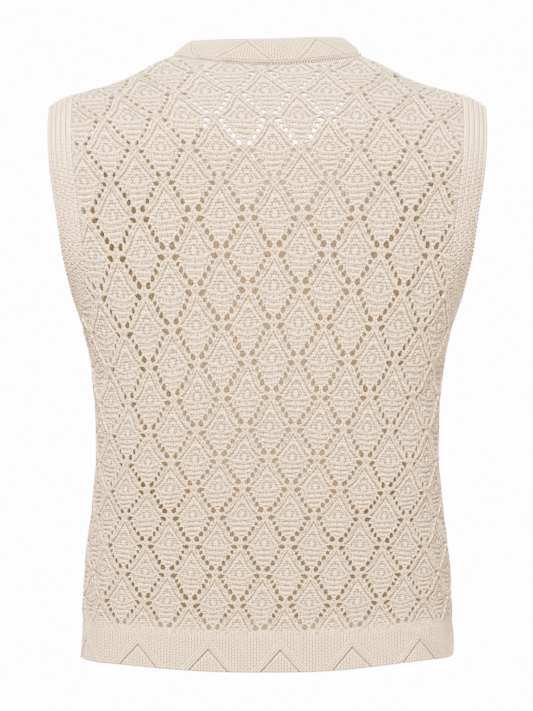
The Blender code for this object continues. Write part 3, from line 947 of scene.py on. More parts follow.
@dataclass
class Shell:
    """A mesh in the making: points, triangles, and what the yarn reads at each corner."""

    points: Array
    triangles: Array
    normals: Array
    stitch: Array
    zones: Array
    # Painted shade share of each point.
    hollow: Array

    def build(self, name: str, material: bpy.types.Material) -> bpy.types.Object:
        """Writes the mesh.

        Args:
            name: the piece's name.
            material: its yarn.

        Returns:
            The piece.
        """
        mesh = bpy.data.meshes.new(name)
        mesh.vertices.add(len(self.points))
        mesh.vertices.foreach_set("co", (self.points / 1000.0).astype(np.float32).ravel())
        mesh.loops.add(self.triangles.size)
        mesh.loops.foreach_set("vertex_index", self.triangles.astype(np.int32).ravel())
        mesh.polygons.add(len(self.triangles))
        starts = np.arange(0, self.triangles.size, 3, dtype=np.int32)
        mesh.polygons.foreach_set("loop_start", starts)
        mesh.update(calc_edges=True)
        mesh.validate()
        layer = mesh.uv_layers.new(name="stitch")
        layer.data.foreach_set("uv", self.stitch.astype(np.float32).ravel())
        zone = mesh.attributes.new("zone", "FLOAT", "FACE")
        zone.data.foreach_set("value", self.zones.astype(np.float32))
        # The hollow attribute is painted shade: how far the yarn's colour darkens at each point.
        hollow = mesh.attributes.new("hollow", "FLOAT", "POINT")
        hollow.data.foreach_set("value", self.hollow.astype(np.float32))
        mesh.polygons.foreach_set("use_smooth", np.ones(len(self.triangles), bool))
        mesh.normals_split_custom_set(self.normals.reshape(-1, 3).tolist())
        mesh.materials.append(material)
        piece = bpy.data.objects.new(name, mesh)
        bpy.context.scene.collection.objects.link(piece)
        LOG.info("%s: %d triangles", name, len(self.triangles))
        return piece


def point_normals(points: Array, triangles: Array) -> Array:
    """The normal of each point, from the triangles round it.

    Args:
        points: the points.
        triangles: each triangle's points, by number.

    Returns:
        A vector of length 1 for each point.
    """
    a, b, c = (points[triangles[:, k]] for k in range(3))
    facing = np.cross(b - a, c - a)
    total = np.zeros_like(points)
    for k in range(3):
        np.add.at(total, triangles[:, k], facing)
    return unit(total)


def border(triangles: Array, count: int) -> Array:
    """The directed sides that only one triangle has.

    Args:
        triangles: each triangle's points, by number.
        count: how many points there are.

    Returns:
        The numbers of each side's two points.
    """
    sides = np.concatenate([triangles[:, [0, 1]], triangles[:, [1, 2]], triangles[:, [2, 0]]])
    own, reverse = sides[:, 0] * count + sides[:, 1], sides[:, 1] * count + sides[:, 0]
    return sides[~np.isin(own, reverse)]


@dataclass
class Outline:
    """A panel's edge on the lattice plane."""

    points: Array
    reach: float = 12.0

    def clearance(self, places: Array) -> Array:
        """Distance of each place from the edge, or the reach where it is farther.

        Args:
            places: points of the lattice plane.

        Returns:
            A distance for each place.
        """
        nearest = np.full(len(places), self.reach)
        xs, ys = np.ascontiguousarray(places[:, 0]), np.ascontiguousarray(places[:, 1])
        for start, end in zip(self.points, np.roll(self.points, -1, axis=0)):
            run, middle = end - start, (start + end) / 2
            span = self.reach + np.abs(run).max()
            near = np.flatnonzero((np.abs(xs - middle[0]) < span) & (np.abs(ys - middle[1]) < span))
            away = places[near] - start
            share = np.clip((away @ run) / max(float(run @ run), 1e-12), 0.0, 1.0)
            gap = np.hypot(away[:, 0] - share * run[0], away[:, 1] - share * run[1])
            nearest[near] = np.minimum(nearest[near], gap)
        return nearest

    def holds(self, places: Array) -> Array:
        """Whether each place is inside the edge.

        Args:
            places: points of the lattice plane.

        Returns:
            True or false for each place.
        """
        within = np.zeros(len(places), bool)
        for (x0, y0), (x1, y1) in zip(self.points, np.roll(self.points, -1, axis=0)):
            spans = (y0 > places[:, 1]) != (y1 > places[:, 1])
            if spans.any():
                crossing = x0 + (places[:, 1] - y0) * (x1 - x0) / (y1 - y0 if y1 != y0 else 1.0)
                within ^= spans & (places[:, 0] < crossing)
        return within


@dataclass
class KnitPanel:
    """One body panel of diamond lace, made as a left and a right half that share a middle line."""

    name: str
    face: Face
    form: BodyForm
    lace: LaceRepeat
    droop: Droop = field(default_factory=Droop)
    wall: float = 1.5
    neck_tightness: float = 0.3
    tight_above: float = -170.0
    tight_fade: float = 70.0
    eyelet_margin: float = 4.6
    lace_foot: float = -513.0
    foot_fade: float = 12.0
    lowest_eyelet: float = -507.0
    unevenness: float = 0.35
    batch: int = 4000

    def __post_init__(self) -> None:
        """Makes the lattice's curves."""
        self.row_height = column_curve(LATTICE, "row", "height")
        self.row_of = column_curve(LATTICE, "height", "row")
        self.pitch = column_curve(LATTICE, "row", "pitch")
        self.shift = column_curve(LATTICE, "row", "shift")

    def to_flat(self, places: Array) -> Array:
        """The lattice plane's points for rows of arc and height.

        Args:
            places: a row of arc and height for each place.

        Returns:
            A point for each place.
        """
        layout = LAYOUTS[self.face]
        levels = self.droop.level(places[:, 0], places[:, 1])
        rows = self.row_of(layout.level + (levels - layout.level) / layout.scale)
        columns = (places[:, 0] / layout.scale - self.shift(rows)) / self.pitch(rows)
        columns = (columns - layout.sideways) * 2 * self.lace.half_pitch
        return np.stack([columns, -rows * self.lace.half_row], axis=1)

    def to_body(self, flat: Array, play: Array | float = 0.0) -> tuple[Array, Array]:
        """Arc and height of points of the lattice plane.

        Args:
            flat: points of the lattice plane.
            play: how far the knit's unevenness moves each point.

        Returns:
            The arcs and the heights.
        """
        layout = LAYOUTS[self.face]
        x, y = flat[:, 0], flat[:, 1]
        sway = np.sin(x * 0.21 + 1.3 * np.sin(y * 0.13)) + np.sin(y * 0.33 + x * 0.07)
        bob = np.sin(y * 0.19 + 1.1 * np.sin(x * 0.17)) + np.sin(x * 0.29 - y * 0.05)
        rows = -(y + bob * play) / self.lace.half_row
        columns = (x + sway * play) / (2 * self.lace.half_pitch) + layout.sideways
        arcs = (columns * self.pitch(rows) + self.shift(rows)) * layout.scale
        levels = layout.level + (self.row_height(rows) - layout.level) * layout.scale
        return arcs, levels - self.droop.at(arcs, levels)

    def outline(self) -> Outline:
        """The panel's edge, with a point wherever it crosses the middle line.

        Returns:
            The edge.
        """
        form, face = self.form, self.face
        foot = PANEL_FOOT + SEAM_GAP / 2
        underarm = ARMBAND_SEAM.bottom_height - SEAM_GAP / 2
        heights = np.linspace(foot, underarm, 100)
        right = list(zip(form.side(heights, face), heights))
        for angle in np.linspace(math.pi, 0.0, 100)[1:]:
            arc, height = form.armhole(ARMBAND_SEAM, angle, face)
            right.append((arc - SEAM_GAP / 2, height))
        tip = float(form.section(np.array(right[-1][0]), np.array(right[-1][1]), face)[0])
        for across in np.linspace(tip, form.neck_half_width, 40)[1:-1]:
            height = float(form.shoulder(across))
            right.append((form.arc_of(across, height, face), height))
        neck = form.neckline_places(face, 130)[::-1]
        half = float(form.side(np.array(foot), face))
        bottom = [(arc, foot) for arc in np.linspace(-half, half, 150)[1:-1]]
        left = [(-arc, height) for arc, height in reversed(right)]
        places = np.array(bottom + right + [(row[2], row[1]) for row in neck] + left)
        return Outline(self.with_middle(self.to_flat(places)))

    def with_middle(self, flat: Array) -> Array:
        """The edge with its crossings of the middle line put in.

        Args:
            flat: the edge's points in order.

        Returns:
            The points in order.
        """
        points: list[Array] = []
        flat[np.abs(flat[:, 0]) < 0.6, 0] = 0.0
        for start, end in zip(flat, np.roll(flat, -1, axis=0)):
            points.append(start)
            if start[0] * end[0] < 0:
                share = start[0] / (start[0] - end[0])
                points.append(np.array([0.0, start[1] + share * (end[1] - start[1])]))
        return np.array(points)

    def crossings(self) -> list[tuple[float, int]]:
        """Column and row of each crossing over the panel and a little past its edges."""
        return [(step + (row % 2) / 2, row) for row in range(-3, 20) for step in range(-8, 9)]

    def spread(self, half: Array) -> Array:
        """The points of a half diamond, repeated over the whole lattice plane.

        Args:
            half: the points, from its top crossing.

        Returns:
            All the points, left halves first.
        """
        pitch, row = 2 * self.lace.half_pitch, self.lace.half_row
        tops = np.array([(column * pitch, -number * row) for column, number in self.crossings()])
        sides = [tops[:, None, :] + half[None] * (hand, -1) for hand in (-1, 1)]
        return np.concatenate([side.reshape(-1, 2) for side in sides])

    def axis(self, outline: Outline) -> Array:
        """Points down the panel's middle line, ends included.

        Args:
            outline: the edge.

        Returns:
            The points, from the foot up.
        """
        ends = outline.points[np.abs(outline.points[:, 0]) < 1e-9]
        tops = [-2 * self.lace.half_row * k for k in range(-2, 11)]
        ys = np.concatenate([top - self.lace.axis_points() for top in tops])
        ys = ys[(ys < ends[:, 1].max() - 0.8) & (ys > ends[:, 1].min() + 0.8)]
        ys = np.concatenate([ys, ends[:, 1]])
        return np.stack([np.zeros(len(ys)), np.sort(ys)], axis=1)

    def rims(self, outline: Outline) -> list[Array]:
        """The edges of the eyelets that are open, clear of the panel's edge.

        Args:
            outline: the edge.

        Returns:
            The points round each eyelet.
        """
        found = []
        for number, eyelet in enumerate(EYELETS):
            ring = self.spread(self.lace.eyelet_points(eyelet, 0.0)).reshape(-1, eyelet.points, 2)
            middles = ring.mean(axis=1)
            size = self.eyelet_size(middles)[:, None, None]
            ring = middles[:, None] + (ring - middles[:, None]) * size
            clear = outline.holds(middles) & self.opens(middles, number, outline)
            found += list(ring[clear])
        return found

    def eyelet_size(self, flat: Array) -> Array:
        """How large the eyelets are at these points: the knit is tighter towards the neck."""
        level = self.to_body(flat)[1]
        return 1.0 - self.neck_tightness * smooth((level - self.tight_above) / self.tight_fade)

    def opens(self, middles: Array, number: int, outline: Outline) -> Array:
        """Whether an eyelet of this number is open at each middle.

        Args:
            middles: the middles of eyelets.
            number: which eyelet of the diamond they are.
            outline: the edge.

        Returns:
            True or false for each eyelet.
        """
        if number in CLOSED_EYELETS[self.face]:
            return np.zeros(len(middles), bool)
        low = self.to_body(middles)[1] < self.lowest_eyelet
        return (outline.clearance(middles) > self.eyelet_margin) & ~low

    def triangulate(
        self, outline: Outline, rims: list[Array], axis: Array, loose: Array
    ) -> tuple[Array, Array]:
        """Joins points into the triangles of cloth between the edge and the eyelets.

        Args:
            outline: the edge.
            rims: the eyelets' edges.
            axis: points down the middle line.
            loose: points anywhere else.

        Returns:
            The points and the triangles, facing out of the page.
        """
        loops = [outline.points, *rims]
        lines: list[tuple[int, int]] = []
        count = 0
        for loop in loops:
            lines += [(count + k, count + (k + 1) % len(loop)) for k in range(len(loop))]
            count += len(loop)
        lines += [(count + k, count + k + 1) for k in range(len(axis) - 1)]
        everything = np.concatenate([*loops, axis, loose])
        vectors = [Vector(point) for point in everything.tolist()]
        found = delaunay_2d_cdt(vectors, lines, [], 0, 0.01, False)
        points = np.array([tuple(point) for point in found[0]])
        triangles = np.array(found[2])
        middles = points[triangles].mean(axis=1)
        on_edge = outline.clearance(points) < 0.03
        suspect = on_edge[triangles].all(axis=1)
        keep = np.ones(len(triangles), bool)
        keep[suspect] = outline.holds(middles[suspect])
        across, down = self.lace.own_half(middles)
        number = self.lace.in_eyelet(across, down, self.eyelet_size(middles))
        holes = np.flatnonzero(number >= 0)
        keep[holes[self.is_open(middles[holes], number[holes], outline)]] = False
        return points, triangles[keep]

    def is_open(self, places: Array, numbers: Array, outline: Outline) -> Array:
        """Whether the eyelet that holds each place is open.

        Args:
            places: points that are in an eyelet.
            numbers: the number of the eyelet that holds each.
            outline: the edge.

        Returns:
            True or false for each place.
        """
        pitch, row = self.lace.half_pitch, self.lace.half_row
        table = [(eyelet.across * pitch, eyelet.down * row) for eyelet in EYELETS]
        tops = np.array([(step * 2 * pitch, -line * row) for step, line in self.crossings()])
        middles = np.empty_like(places)
        opened = np.zeros(len(places), bool)
        for number, (right, low) in enumerate(table):
            mine = np.flatnonzero(numbers == number)
            if not len(mine):
                continue
            all_middles = np.concatenate([tops + (right, -low), tops + (-right, -low)])
            for start in range(0, len(mine), self.batch):
                part = mine[start : start + self.batch]
                gaps = np.hypot(*(places[part][:, None, :] - all_middles[None]).transpose(2, 0, 1))
                middles[part] = all_middles[gaps.argmin(axis=1)]
            opened[mine] = self.opens(middles[mine], number, outline)
        return opened

    def lay(self, flat: Array, rise: Array, clear: Array) -> Array:
        """Points on the body for points of the lattice plane, this far off its surface.

        Args:
            flat: points of the lattice plane.
            rise: how far off the surface each is.
            clear: how far from the panel's edge each is.

        Returns:
            The points in millimetres.
        """
        arcs, heights = self.to_body(flat, self.unevenness * smooth((clear - 1.0) / 8.0))
        limit = self.form.side(heights, self.face)
        arcs = np.clip(arcs, -limit, limit)
        points = self.form.place(arcs, heights, self.face)
        return points + self.form.normal(arcs, heights, self.face) * rise[:, None]

    def shells(self) -> list[Shell]:
        """Both halves: raised outside, plain inside, with a wall round every eyelet.

        Returns:
            The left half and the right half.
        """
        lace = self.lace
        outline = self.outline()
        rims = self.rims(outline)
        axis = self.axis(outline)
        loose = self.spread(lace.points())
        tops = lace.axis_points()
        middle = self.spread(np.stack([tops * 0, tops], axis=1))
        middle = middle[: len(middle) // 2]
        loose = np.concatenate([loose, middle[np.abs(middle[:, 0]) > 0.1]])
        loose = loose[self.to_body(loose)[1] > self.lace_foot]
        loose = self.within(np.concatenate([loose, self.foot_points()]), outline, 0.8)
        outer_flat, outer = self.triangulate(outline, rims, axis, loose)
        plain = self.spread(np.array([(0.0, 1.5), (0.0, 20.0), (10.0, 23.0), (0.0, 38.0)]))
        plain = self.within(plain[np.abs(plain[:, 0]) > 0.1], outline, 5.0)
        inner_flat, inner = self.triangulate(outline, rims, axis, np.unique(plain, axis=0))
        outer_clear = outline.clearance(outer_flat)
        across, down = lace.own_half(outer_flat)
        rise = self.merged(lace.relief(across, down), outer_flat) * smooth(outer_clear / 2.5)
        outer_points = self.lay(outer_flat, rise, outer_clear)
        inner_clear = outline.clearance(inner_flat)
        inner_points = self.lay(inner_flat, np.full(len(inner_flat), -self.wall), inner_clear)
        inner = inner[:, ::-1]
        if self.face is Face.FRONT:
            outer, inner = outer[:, ::-1], inner[:, ::-1]
        stitch, zones = self.stitches(outer_flat, outer)
        # Painted shade: sunk points of the relief darken the yarn's colour through the hollow
        # attribute.
        hollow = self.painted_hollow_shade(rise, outer)
        outer_normals = point_normals(outer_points, outer)
        inner_normals = point_normals(inner_points, inner)
        inner_keys = map(tuple, np.round(inner_flat * 20).astype(int))
        outer_keys = map(tuple, np.round(outer_flat * 20).astype(int))
        keys = {key: k for k, key in enumerate(inner_keys)}
        below = np.array([keys.get(key, -1) for key in outer_keys])
        shells = []
        for hand in (-1, 1):
            chosen = outer_flat[outer].mean(axis=1)[:, 0] * hand > 0
            mine = outer[chosen]
            lining = inner[inner_flat[inner].mean(axis=1)[:, 0] * hand > 0]
            rim = border(mine, len(outer_flat))
            base = len(outer_flat)
            low = below[rim] + base
            upper_wall = np.stack([rim[:, 1], rim[:, 0], low[:, 1]], axis=1)
            lower_wall = np.stack([rim[:, 0], low[:, 0], low[:, 1]], axis=1)
            wall = np.concatenate([upper_wall, lower_wall])
            points = np.concatenate([outer_points, inner_points])
            triangles = np.concatenate([mine, lining + base, wall])
            a, b, c = (points[wall[:, k]] for k in range(3))
            flat_normals = np.repeat(unit(np.cross(b - a, c - a))[:, None, :], 3, axis=1)
            normals = np.concatenate([outer_normals[mine], inner_normals[lining], flat_normals])
            flats = np.concatenate([outer_flat, inner_flat])
            uv = np.concatenate([stitch[chosen], flats[triangles[len(mine) :]]])
            plain_zone = np.full(len(triangles) - len(mine), Zone.LINING.value)
            zone = np.concatenate([zones[chosen], plain_zone])
            # Painted shade of the outside's sunk places and of the inside, one share per point.
            deep = np.concatenate([hollow, self.inner_shade(inner_points)])
            used, numbers = np.unique(triangles, return_inverse=True)
            numbers = numbers.reshape(-1, 3)
            shells.append(Shell(points[used], numbers, normals, uv, zone, deep[used]))
        return shells

    def foot_share(self, heights: Array) -> Array:
        """How far the lace has turned into fine rib at each height, from 0 to 1."""
        return smooth((self.lace_foot + self.foot_fade - heights) / self.foot_fade)

    def merged(self, rise: Array, flat: Array) -> Array:
        """The relief, merged into fine rib at the panel's foot.

        Args:
            rise: the lace's relief.
            flat: points of the lattice plane.

        Returns:
            The relief of lace and rib together.
        """
        arcs, heights = self.to_body(flat)
        share = self.foot_share(heights)
        return rise * (1 - share) + fine_rib(arcs, heights) * share

    def painted_hollow_shade(self, rise: Array, triangles: Array) -> Array:
        """Painted shade: how sunk each point is, in all and below its neighbours, from 0 to 1.

        Args:
            rise: how far each point stands out.
            triangles: each triangle's points, by number.

        Returns:
            A share for each point.
        """
        sides = np.concatenate([triangles[:, [0, 1]], triangles[:, [1, 2]], triangles[:, [2, 0]]])
        total, count = np.zeros(len(rise)), np.zeros(len(rise))
        np.add.at(total, sides[:, 0], rise[sides[:, 1]])
        np.add.at(count, sides[:, 0], 1)
        sunk = total / np.maximum(count, 1) - rise
        return np.clip(0.34 * (1.3 - rise) + 1.2 * sunk, 0.0, 1.0)

    def inner_shade(self, points: Array) -> Array:
        """How dark the inside is at each point, from 0 to 1. Its sides and foot get less light.

        Args:
            points: points of the inside.

        Returns:
            A share for each point.
        """
        side = 0.32 * smooth((np.abs(points[:, 0]) - 55.0) / 80.0)
        foot = 0.42 * smooth((-330.0 - points[:, 2]) / 130.0)
        return np.minimum(0.54 + side + foot, 1.0)

    def foot_points(self) -> Array:
        """Points of the fine rib at the panel's foot, on the lattice plane.

        Returns:
            The points.
        """
        reach = float(self.form.side(np.array(PANEL_FOOT), self.face))
        arcs = np.arange(-reach, reach, RIB_PITCH / 4)
        heights = np.arange(PANEL_FOOT + 1.0, self.lace_foot, 1.2)
        grid = np.stack(np.meshgrid(arcs, heights), axis=-1).reshape(-1, 2)
        flat = self.to_flat(grid)
        return flat[np.abs(flat[:, 0]) > 0.5]

    def within(self, points: Array, outline: Outline, margin: float) -> Array:
        """The points that are inside the edge, at least this far from it.

        Args:
            points: the points.
            outline: the edge.
            margin: the least distance from the edge.

        Returns:
            The points that are kept.
        """
        low, high = outline.points.min(axis=0), outline.points.max(axis=0)
        points = points[((points > low) & (points < high)).all(axis=1)]
        points = points[outline.holds(points)]
        return points[outline.clearance(points) > margin]

    def stitches(self, flat: Array, triangles: Array) -> tuple[Array, Array]:
        """Where each corner is in its stitch, and each triangle's zone.

        Args:
            flat: points of the lattice plane.
            triangles: each triangle's points, by number.

        Returns:
            The stitch places and the zones.
        """
        corners = flat[triangles].reshape(-1, 2)
        across, down = self.lace.own_half(corners)
        off, along = self.lace.rib_place(across, down)
        middles = flat[triangles].mean(axis=1)
        middle_off = self.lace.rib_place(*self.lace.own_half(middles))[0]
        on_rib = np.abs(middle_off) < self.lace.rib_edge
        smooth_row = self.lace.on_ridge(*self.lace.own_half(middles))
        ribs = np.stack([off, along], axis=1).reshape(-1, 3, 2)
        uv = np.where(on_rib[:, None, None], ribs, flat[triangles])
        arcs, heights = self.to_body(corners)
        foot = self.foot_share(self.to_body(middles)[1]) > 0.6
        rib = np.stack([arcs * self.lace.stitch / RIB_PITCH, heights], axis=1).reshape(-1, 3, 2)
        uv = np.where(foot[:, None, None], rib, uv)
        zones = np.where(smooth_row, Zone.RIB.value, Zone.PURL.value)
        zones = np.where(on_rib, Zone.WALE.value, zones)
        zones = np.where(foot, Zone.RIB.value, zones)
        return uv, zones.astype(float)

    def dress(self, material: bpy.types.Material) -> list[bpy.types.Object]:
        """Builds both halves as one cloth with the material.

        Args:
            material: the yarn.

        Returns:
            The left piece and the right piece.
        """
        pieces = []
        for side, shell in zip(("left", "right"), self.shells()):
            pieces.append(shell.build(f"{self.name}_{side}", material))
        return pieces


@dataclass
class RibStrip:
    """A strip of rib, as columns of points one after another along it.

    Args:
        points: the cloth's outer points before the relief, columns by rows.
        normals: the way that the cloth looks at each point.
        rise: how far each point stands out.
        stitch: where each point is in the stitches.
        closed: whether the last column meets the first.
        depth: how much painted shade a point gets for sinking below its neighbours.
        wall: the cloth's thickness.
        inner_rows: rows of points on the inside.
        inner_shade: how dark the inside is.
    """

    points: Array
    normals: Array
    rise: Array
    stitch: Array
    closed: bool
    depth: float = 1.1
    wall: float = 2.4
    inner_rows: int = 5
    inner_shade: float = 0.45

    def shell(self) -> Shell:
        """The closed wall of the strip.

        Returns:
            The shell.
        """
        along, across = self.rise.shape
        chosen = np.linspace(0, across - 1, self.inner_rows).astype(int)
        outer = self.points + self.normals * self.rise[..., None]
        inner = self.points[:, chosen] - self.normals[:, chosen] * self.wall
        front = np.arange(along * across).reshape(along, across)
        back = front.size + np.arange(along * self.inner_rows).reshape(along, self.inner_rows)
        ring = np.concatenate([front, back[:, ::-1], front[:, :1]], axis=1)
        column = np.arange(along if self.closed else along - 1)
        here, after = ring[column], ring[(column + 1) % along]
        triangles = [
            np.stack([here[:, :-1], after[:, :-1], after[:, 1:]], axis=-1).reshape(-1, 3),
            np.stack([here[:, :-1], after[:, 1:], here[:, 1:]], axis=-1).reshape(-1, 3),
        ]
        if not self.closed:
            triangles.append(self.cap(front[0], back[0], chosen))
            triangles.append(self.cap(front[-1], back[-1], chosen)[:, ::-1])
        faces = np.concatenate(triangles)
        points = np.concatenate([outer.reshape(-1, 3), inner.reshape(-1, 3)])
        a, b, c = (points[faces[: front.size // 2, k]] for k in range(3))
        looks = self.normals.reshape(-1, 3)[faces[: front.size // 2, 0] % front.size]
        if (np.cross(b - a, c - a) * looks).sum() < 0:
            faces = faces[:, ::-1]
        stitch = np.concatenate([self.stitch.reshape(-1, 2), self.stitch[:, chosen].reshape(-1, 2)])
        inside = np.full(inner.shape[0] * inner.shape[1], self.inner_shade)
        # Painted shade: sunk outer points and the whole inside darken the yarn's colour.
        deep = np.concatenate([self.sunk().ravel(), inside])
        zones = np.full(len(faces), float(Zone.RIB.value))
        return Shell(points, faces, point_normals(points, faces)[faces], stitch[faces], zones, deep)

    def cap(self, front: Array, back: Array, chosen: Array) -> Array:
        """The triangles that close one end of the strip.

        Args:
            front: the numbers of the end's outer points.
            back: the numbers of its inner points.
            chosen: which outer point each inner point lies under.

        Returns:
            The numbers of each triangle's points.
        """
        under = np.searchsorted(chosen, np.arange(len(front) - 1), side="right") - 1
        under = np.clip(under, 0, None)
        teeth = np.stack([front[:-1], front[1:], back[under]], axis=1)
        steps = np.stack([back[:-1], front[chosen[1:]], back[1:]], axis=1)
        return np.concatenate([teeth, steps])

    def sunk(self) -> Array:
        """Painted shade: how sunk each outer point is below its neighbours, from 0 to 1.

        Returns:
            A share for each point.
        """
        along, across = (np.roll(self.rise, 2, k) + np.roll(self.rise, -2, k) for k in (0, 1))
        below = np.maximum(along, across) / 2 - self.rise
        return np.clip(self.depth * below + 0.2 * (0.8 - self.rise), 0.0, 1.0)


def edge_drop(clear: Array, width: float = 1.6, depth: float = 0.9) -> Array:
    """How far a rounded edge falls away, this far from it."""
    return -depth * (1.0 - np.sqrt(1.0 - (1.0 - np.clip(clear / width, 0.0, 1.0)) ** 2))


@dataclass
class RibBand:
    """A ribbed band that is sewn to the panels."""

    name: str
    form: BodyForm

    def strip(self) -> RibStrip:
        """The band as one sheet."""
        raise NotImplementedError

    def dress(self, material: bpy.types.Material) -> bpy.types.Object:
        """Builds the band in its yarn."""
        return self.strip().shell().build(f"{self.name}_knit", material)


@dataclass
class HemWelt(RibBand):
    """The ribbed strip under a panel, with a zigzag of raised parallel cords."""

    face: Face
    overlap: float = 1.2
    step: float = 0.62
    rows: int = 34
    apex: float = 11.0
    apex_height: float = -524.5
    slope: float = 1.12
    cords: int = 3
    cord_pitch: float = 2.15
    cord_rise: float = 2.0
    groove_down: float = 0.7
    groove_width: float = 0.85
    groove_depth: float = 1.4

    def strip(self) -> RibStrip:
        """The welt as one sheet.

        Returns:
            The sheet.
        """
        top = PANEL_FOOT + self.overlap
        half = float(self.form.side(np.array(HEM), self.face))
        share = np.linspace(-1.0, 1.0, int(2 * half / self.step))[:, None]
        heights = np.linspace(HEM, top, self.rows)[None]
        arcs = share * self.form.side(heights, self.face)
        heights = np.broadcast_to(heights, arcs.shape)
        points = self.form.place(arcs, heights, self.face)
        normals = self.form.normal(arcs, heights, self.face)
        rise = self.relief(share * half, heights) + edge_drop(heights - HEM)
        run = np.broadcast_to(share * half, arcs.shape) * STITCH / RIB_PITCH
        return RibStrip(points, normals, rise, np.stack([run, heights], axis=-1), False)

    def relief(self, run: Array, heights: Array) -> Array:
        """How far the welt stands out.

        Args:
            run: distances along the band.
            heights: heights on the body.

        Returns:
            A height for each point.
        """
        off = np.abs(np.mod(run - self.apex + ZIGZAG / 2, ZIGZAG) - ZIGZAG / 2)
        under = self.apex_height - self.slope * off
        above = (heights - under) / math.hypot(1.0, self.slope)
        width = self.cords * self.cord_pitch
        cord = np.abs(np.sin(math.pi * above / self.cord_pitch)) ** 0.9
        taper = 1.0 - 0.45 * np.clip(above / width, 0.0, 1.0)
        inside = smooth(above / 0.5) * smooth((width + 0.6 - above) / 1.2)
        raised = self.cord_rise * taper * (0.15 + 0.85 * cord)
        dots = 0.7 + 0.3 * np.cos(2 * math.pi * run / RIB_PITCH)
        groove = crease(above + self.groove_down, self.groove_width, self.groove_depth) * dots
        return fine_rib(run, heights) * (1.0 - inside) + raised * inside + groove


@dataclass
class NeckBand(RibBand):
    """The ring of fine rib round the neck, with a thin zigzag and a corded seam at its foot."""

    top_half_width: float = 66.0
    side_height: float = 15.0
    tilt: float = 1.2
    back_steps: int = 20
    front_steps: int = 36
    steps_per_zigzag: int = 7
    zigzag_shift: int = 2
    fineness: int = 16
    rows: int = 30
    bulge: float = 1.4
    width: float = 22.0
    zigzag_top: float = 0.88
    zigzag_drop: float = 1.1
    groove_width: float = 0.95
    groove_depth: float = 2.3
    cord_height: float = 2.0
    cord_half_width: float = 1.15
    cord_rise: float = 1.7
    cord_depth: float = 2.4
    ribs_from: float = 2.8
    # How much painted shade the band's sunk places get.
    depth: float = 1.5

    def strip(self) -> RibStrip:
        """The neckband as one sheet.

        Returns:
            The sheet.
        """
        feet, tops, steps = self.lines()
        up = unit(tops - feet)
        along = np.roll(feet, -1, axis=0) - np.roll(feet, 1, axis=0)
        out = unit(np.cross(along, up))
        start = feet + up * NECK_SEAM_GAP
        share = (np.linspace(0.0, 1.0, self.rows) ** 1.3)[None, :, None]
        points = start[:, None] * (1 - share) + tops[:, None] * share
        points = points + out[:, None] * self.bulge * np.sin(math.pi * share)
        normals = np.broadcast_to(out[:, None], points.shape)
        run = np.concatenate([[0.0], np.cumsum(np.linalg.norm(np.diff(feet, axis=0), axis=1))])
        high = share[..., 0] * np.linalg.norm(tops - start, axis=1)[:, None]
        run = np.broadcast_to(run[:, None], high.shape)
        rise = self.relief(run, high, share[..., 0], steps[:, None])
        rise = rise + edge_drop(np.linalg.norm(tops - start, axis=1)[:, None] - high, 2.2, 1.1)
        stitch = np.stack([run * STITCH / RIB_PITCH, high], axis=-1)
        return RibStrip(points, normals, rise, stitch, True, depth=self.depth)

    def lines(self) -> tuple[Array, Array, Array]:
        """The band's foot and top all round, and how many zigzag steps each point is along.

        Returns:
            The foot's points, the top's points and the steps.
        """
        feet, tops, steps = [], [], []
        for face, count, base in (
            (Face.BACK, self.back_steps, 0),
            (Face.FRONT, self.front_steps, self.back_steps),
        ):
            fine = count * self.fineness
            places = self.form.neckline_places(face, fine)
            places = places[:-1] if face is Face.BACK else places[:0:-1]
            across, height, arc = places.T
            foot = self.form.place(arc, height, face)
            share = -height / NECKLINES[face].drop
            band_top = BAND_TOPS[face]
            level = self.side_height + (band_top.height - self.side_height) * share
            level = level + self.tilt * across / self.top_half_width
            top_across = self.top_half_width * across / self.form.neck_half_width
            feet.append(foot)
            tops.append(np.stack([top_across, foot[:, 1] * band_top.lean, level], axis=1))
            steps.append(base + np.arange(fine) / self.fineness)
        return np.concatenate(feet), np.concatenate(tops), np.concatenate(steps)

    def relief(self, run: Array, high: Array, share: Array, steps: Array) -> Array:
        """How far the band stands out: fine rib, the zigzag's line and the corded seam.

        Args:
            run: distances along the band.
            high: distances above the seam.
            share: shares of the way across the band.
            steps: zigzag steps round the band.

        Returns:
            A height for each point.
        """
        from_middle = steps + self.zigzag_shift - self.back_steps / 2
        wave = np.mod(from_middle / self.steps_per_zigzag, 1.0)
        line = self.zigzag_top - self.zigzag_drop * (1.0 - np.abs(2.0 * wave - 1.0))
        below = (share - line) * self.width
        dots = 0.55 + 0.45 * np.cos(2 * math.pi * run / RIB_PITCH)
        groove = crease(below, self.groove_width, self.groove_depth) * dots
        lip = -crease(below - 1.7, 0.9, 0.6)
        twist = np.cos(math.pi * (run - high * 0.9) / RIB_PITCH) ** 2
        cord = bead(high - self.cord_height, self.cord_half_width, self.cord_rise)
        cord = cord * (0.3 + 0.7 * twist)
        sunk = crease(high - 3.7, 0.6, 0.4)
        between = crease(high - 1.4, 1.0, self.cord_depth) * (1.0 - 0.9 * twist)
        ribs = fine_rib(run, high) * 0.9 * smooth((high - self.ribs_from) / 1.0)
        return np.maximum(ribs + groove + lip + sunk, cord) + between


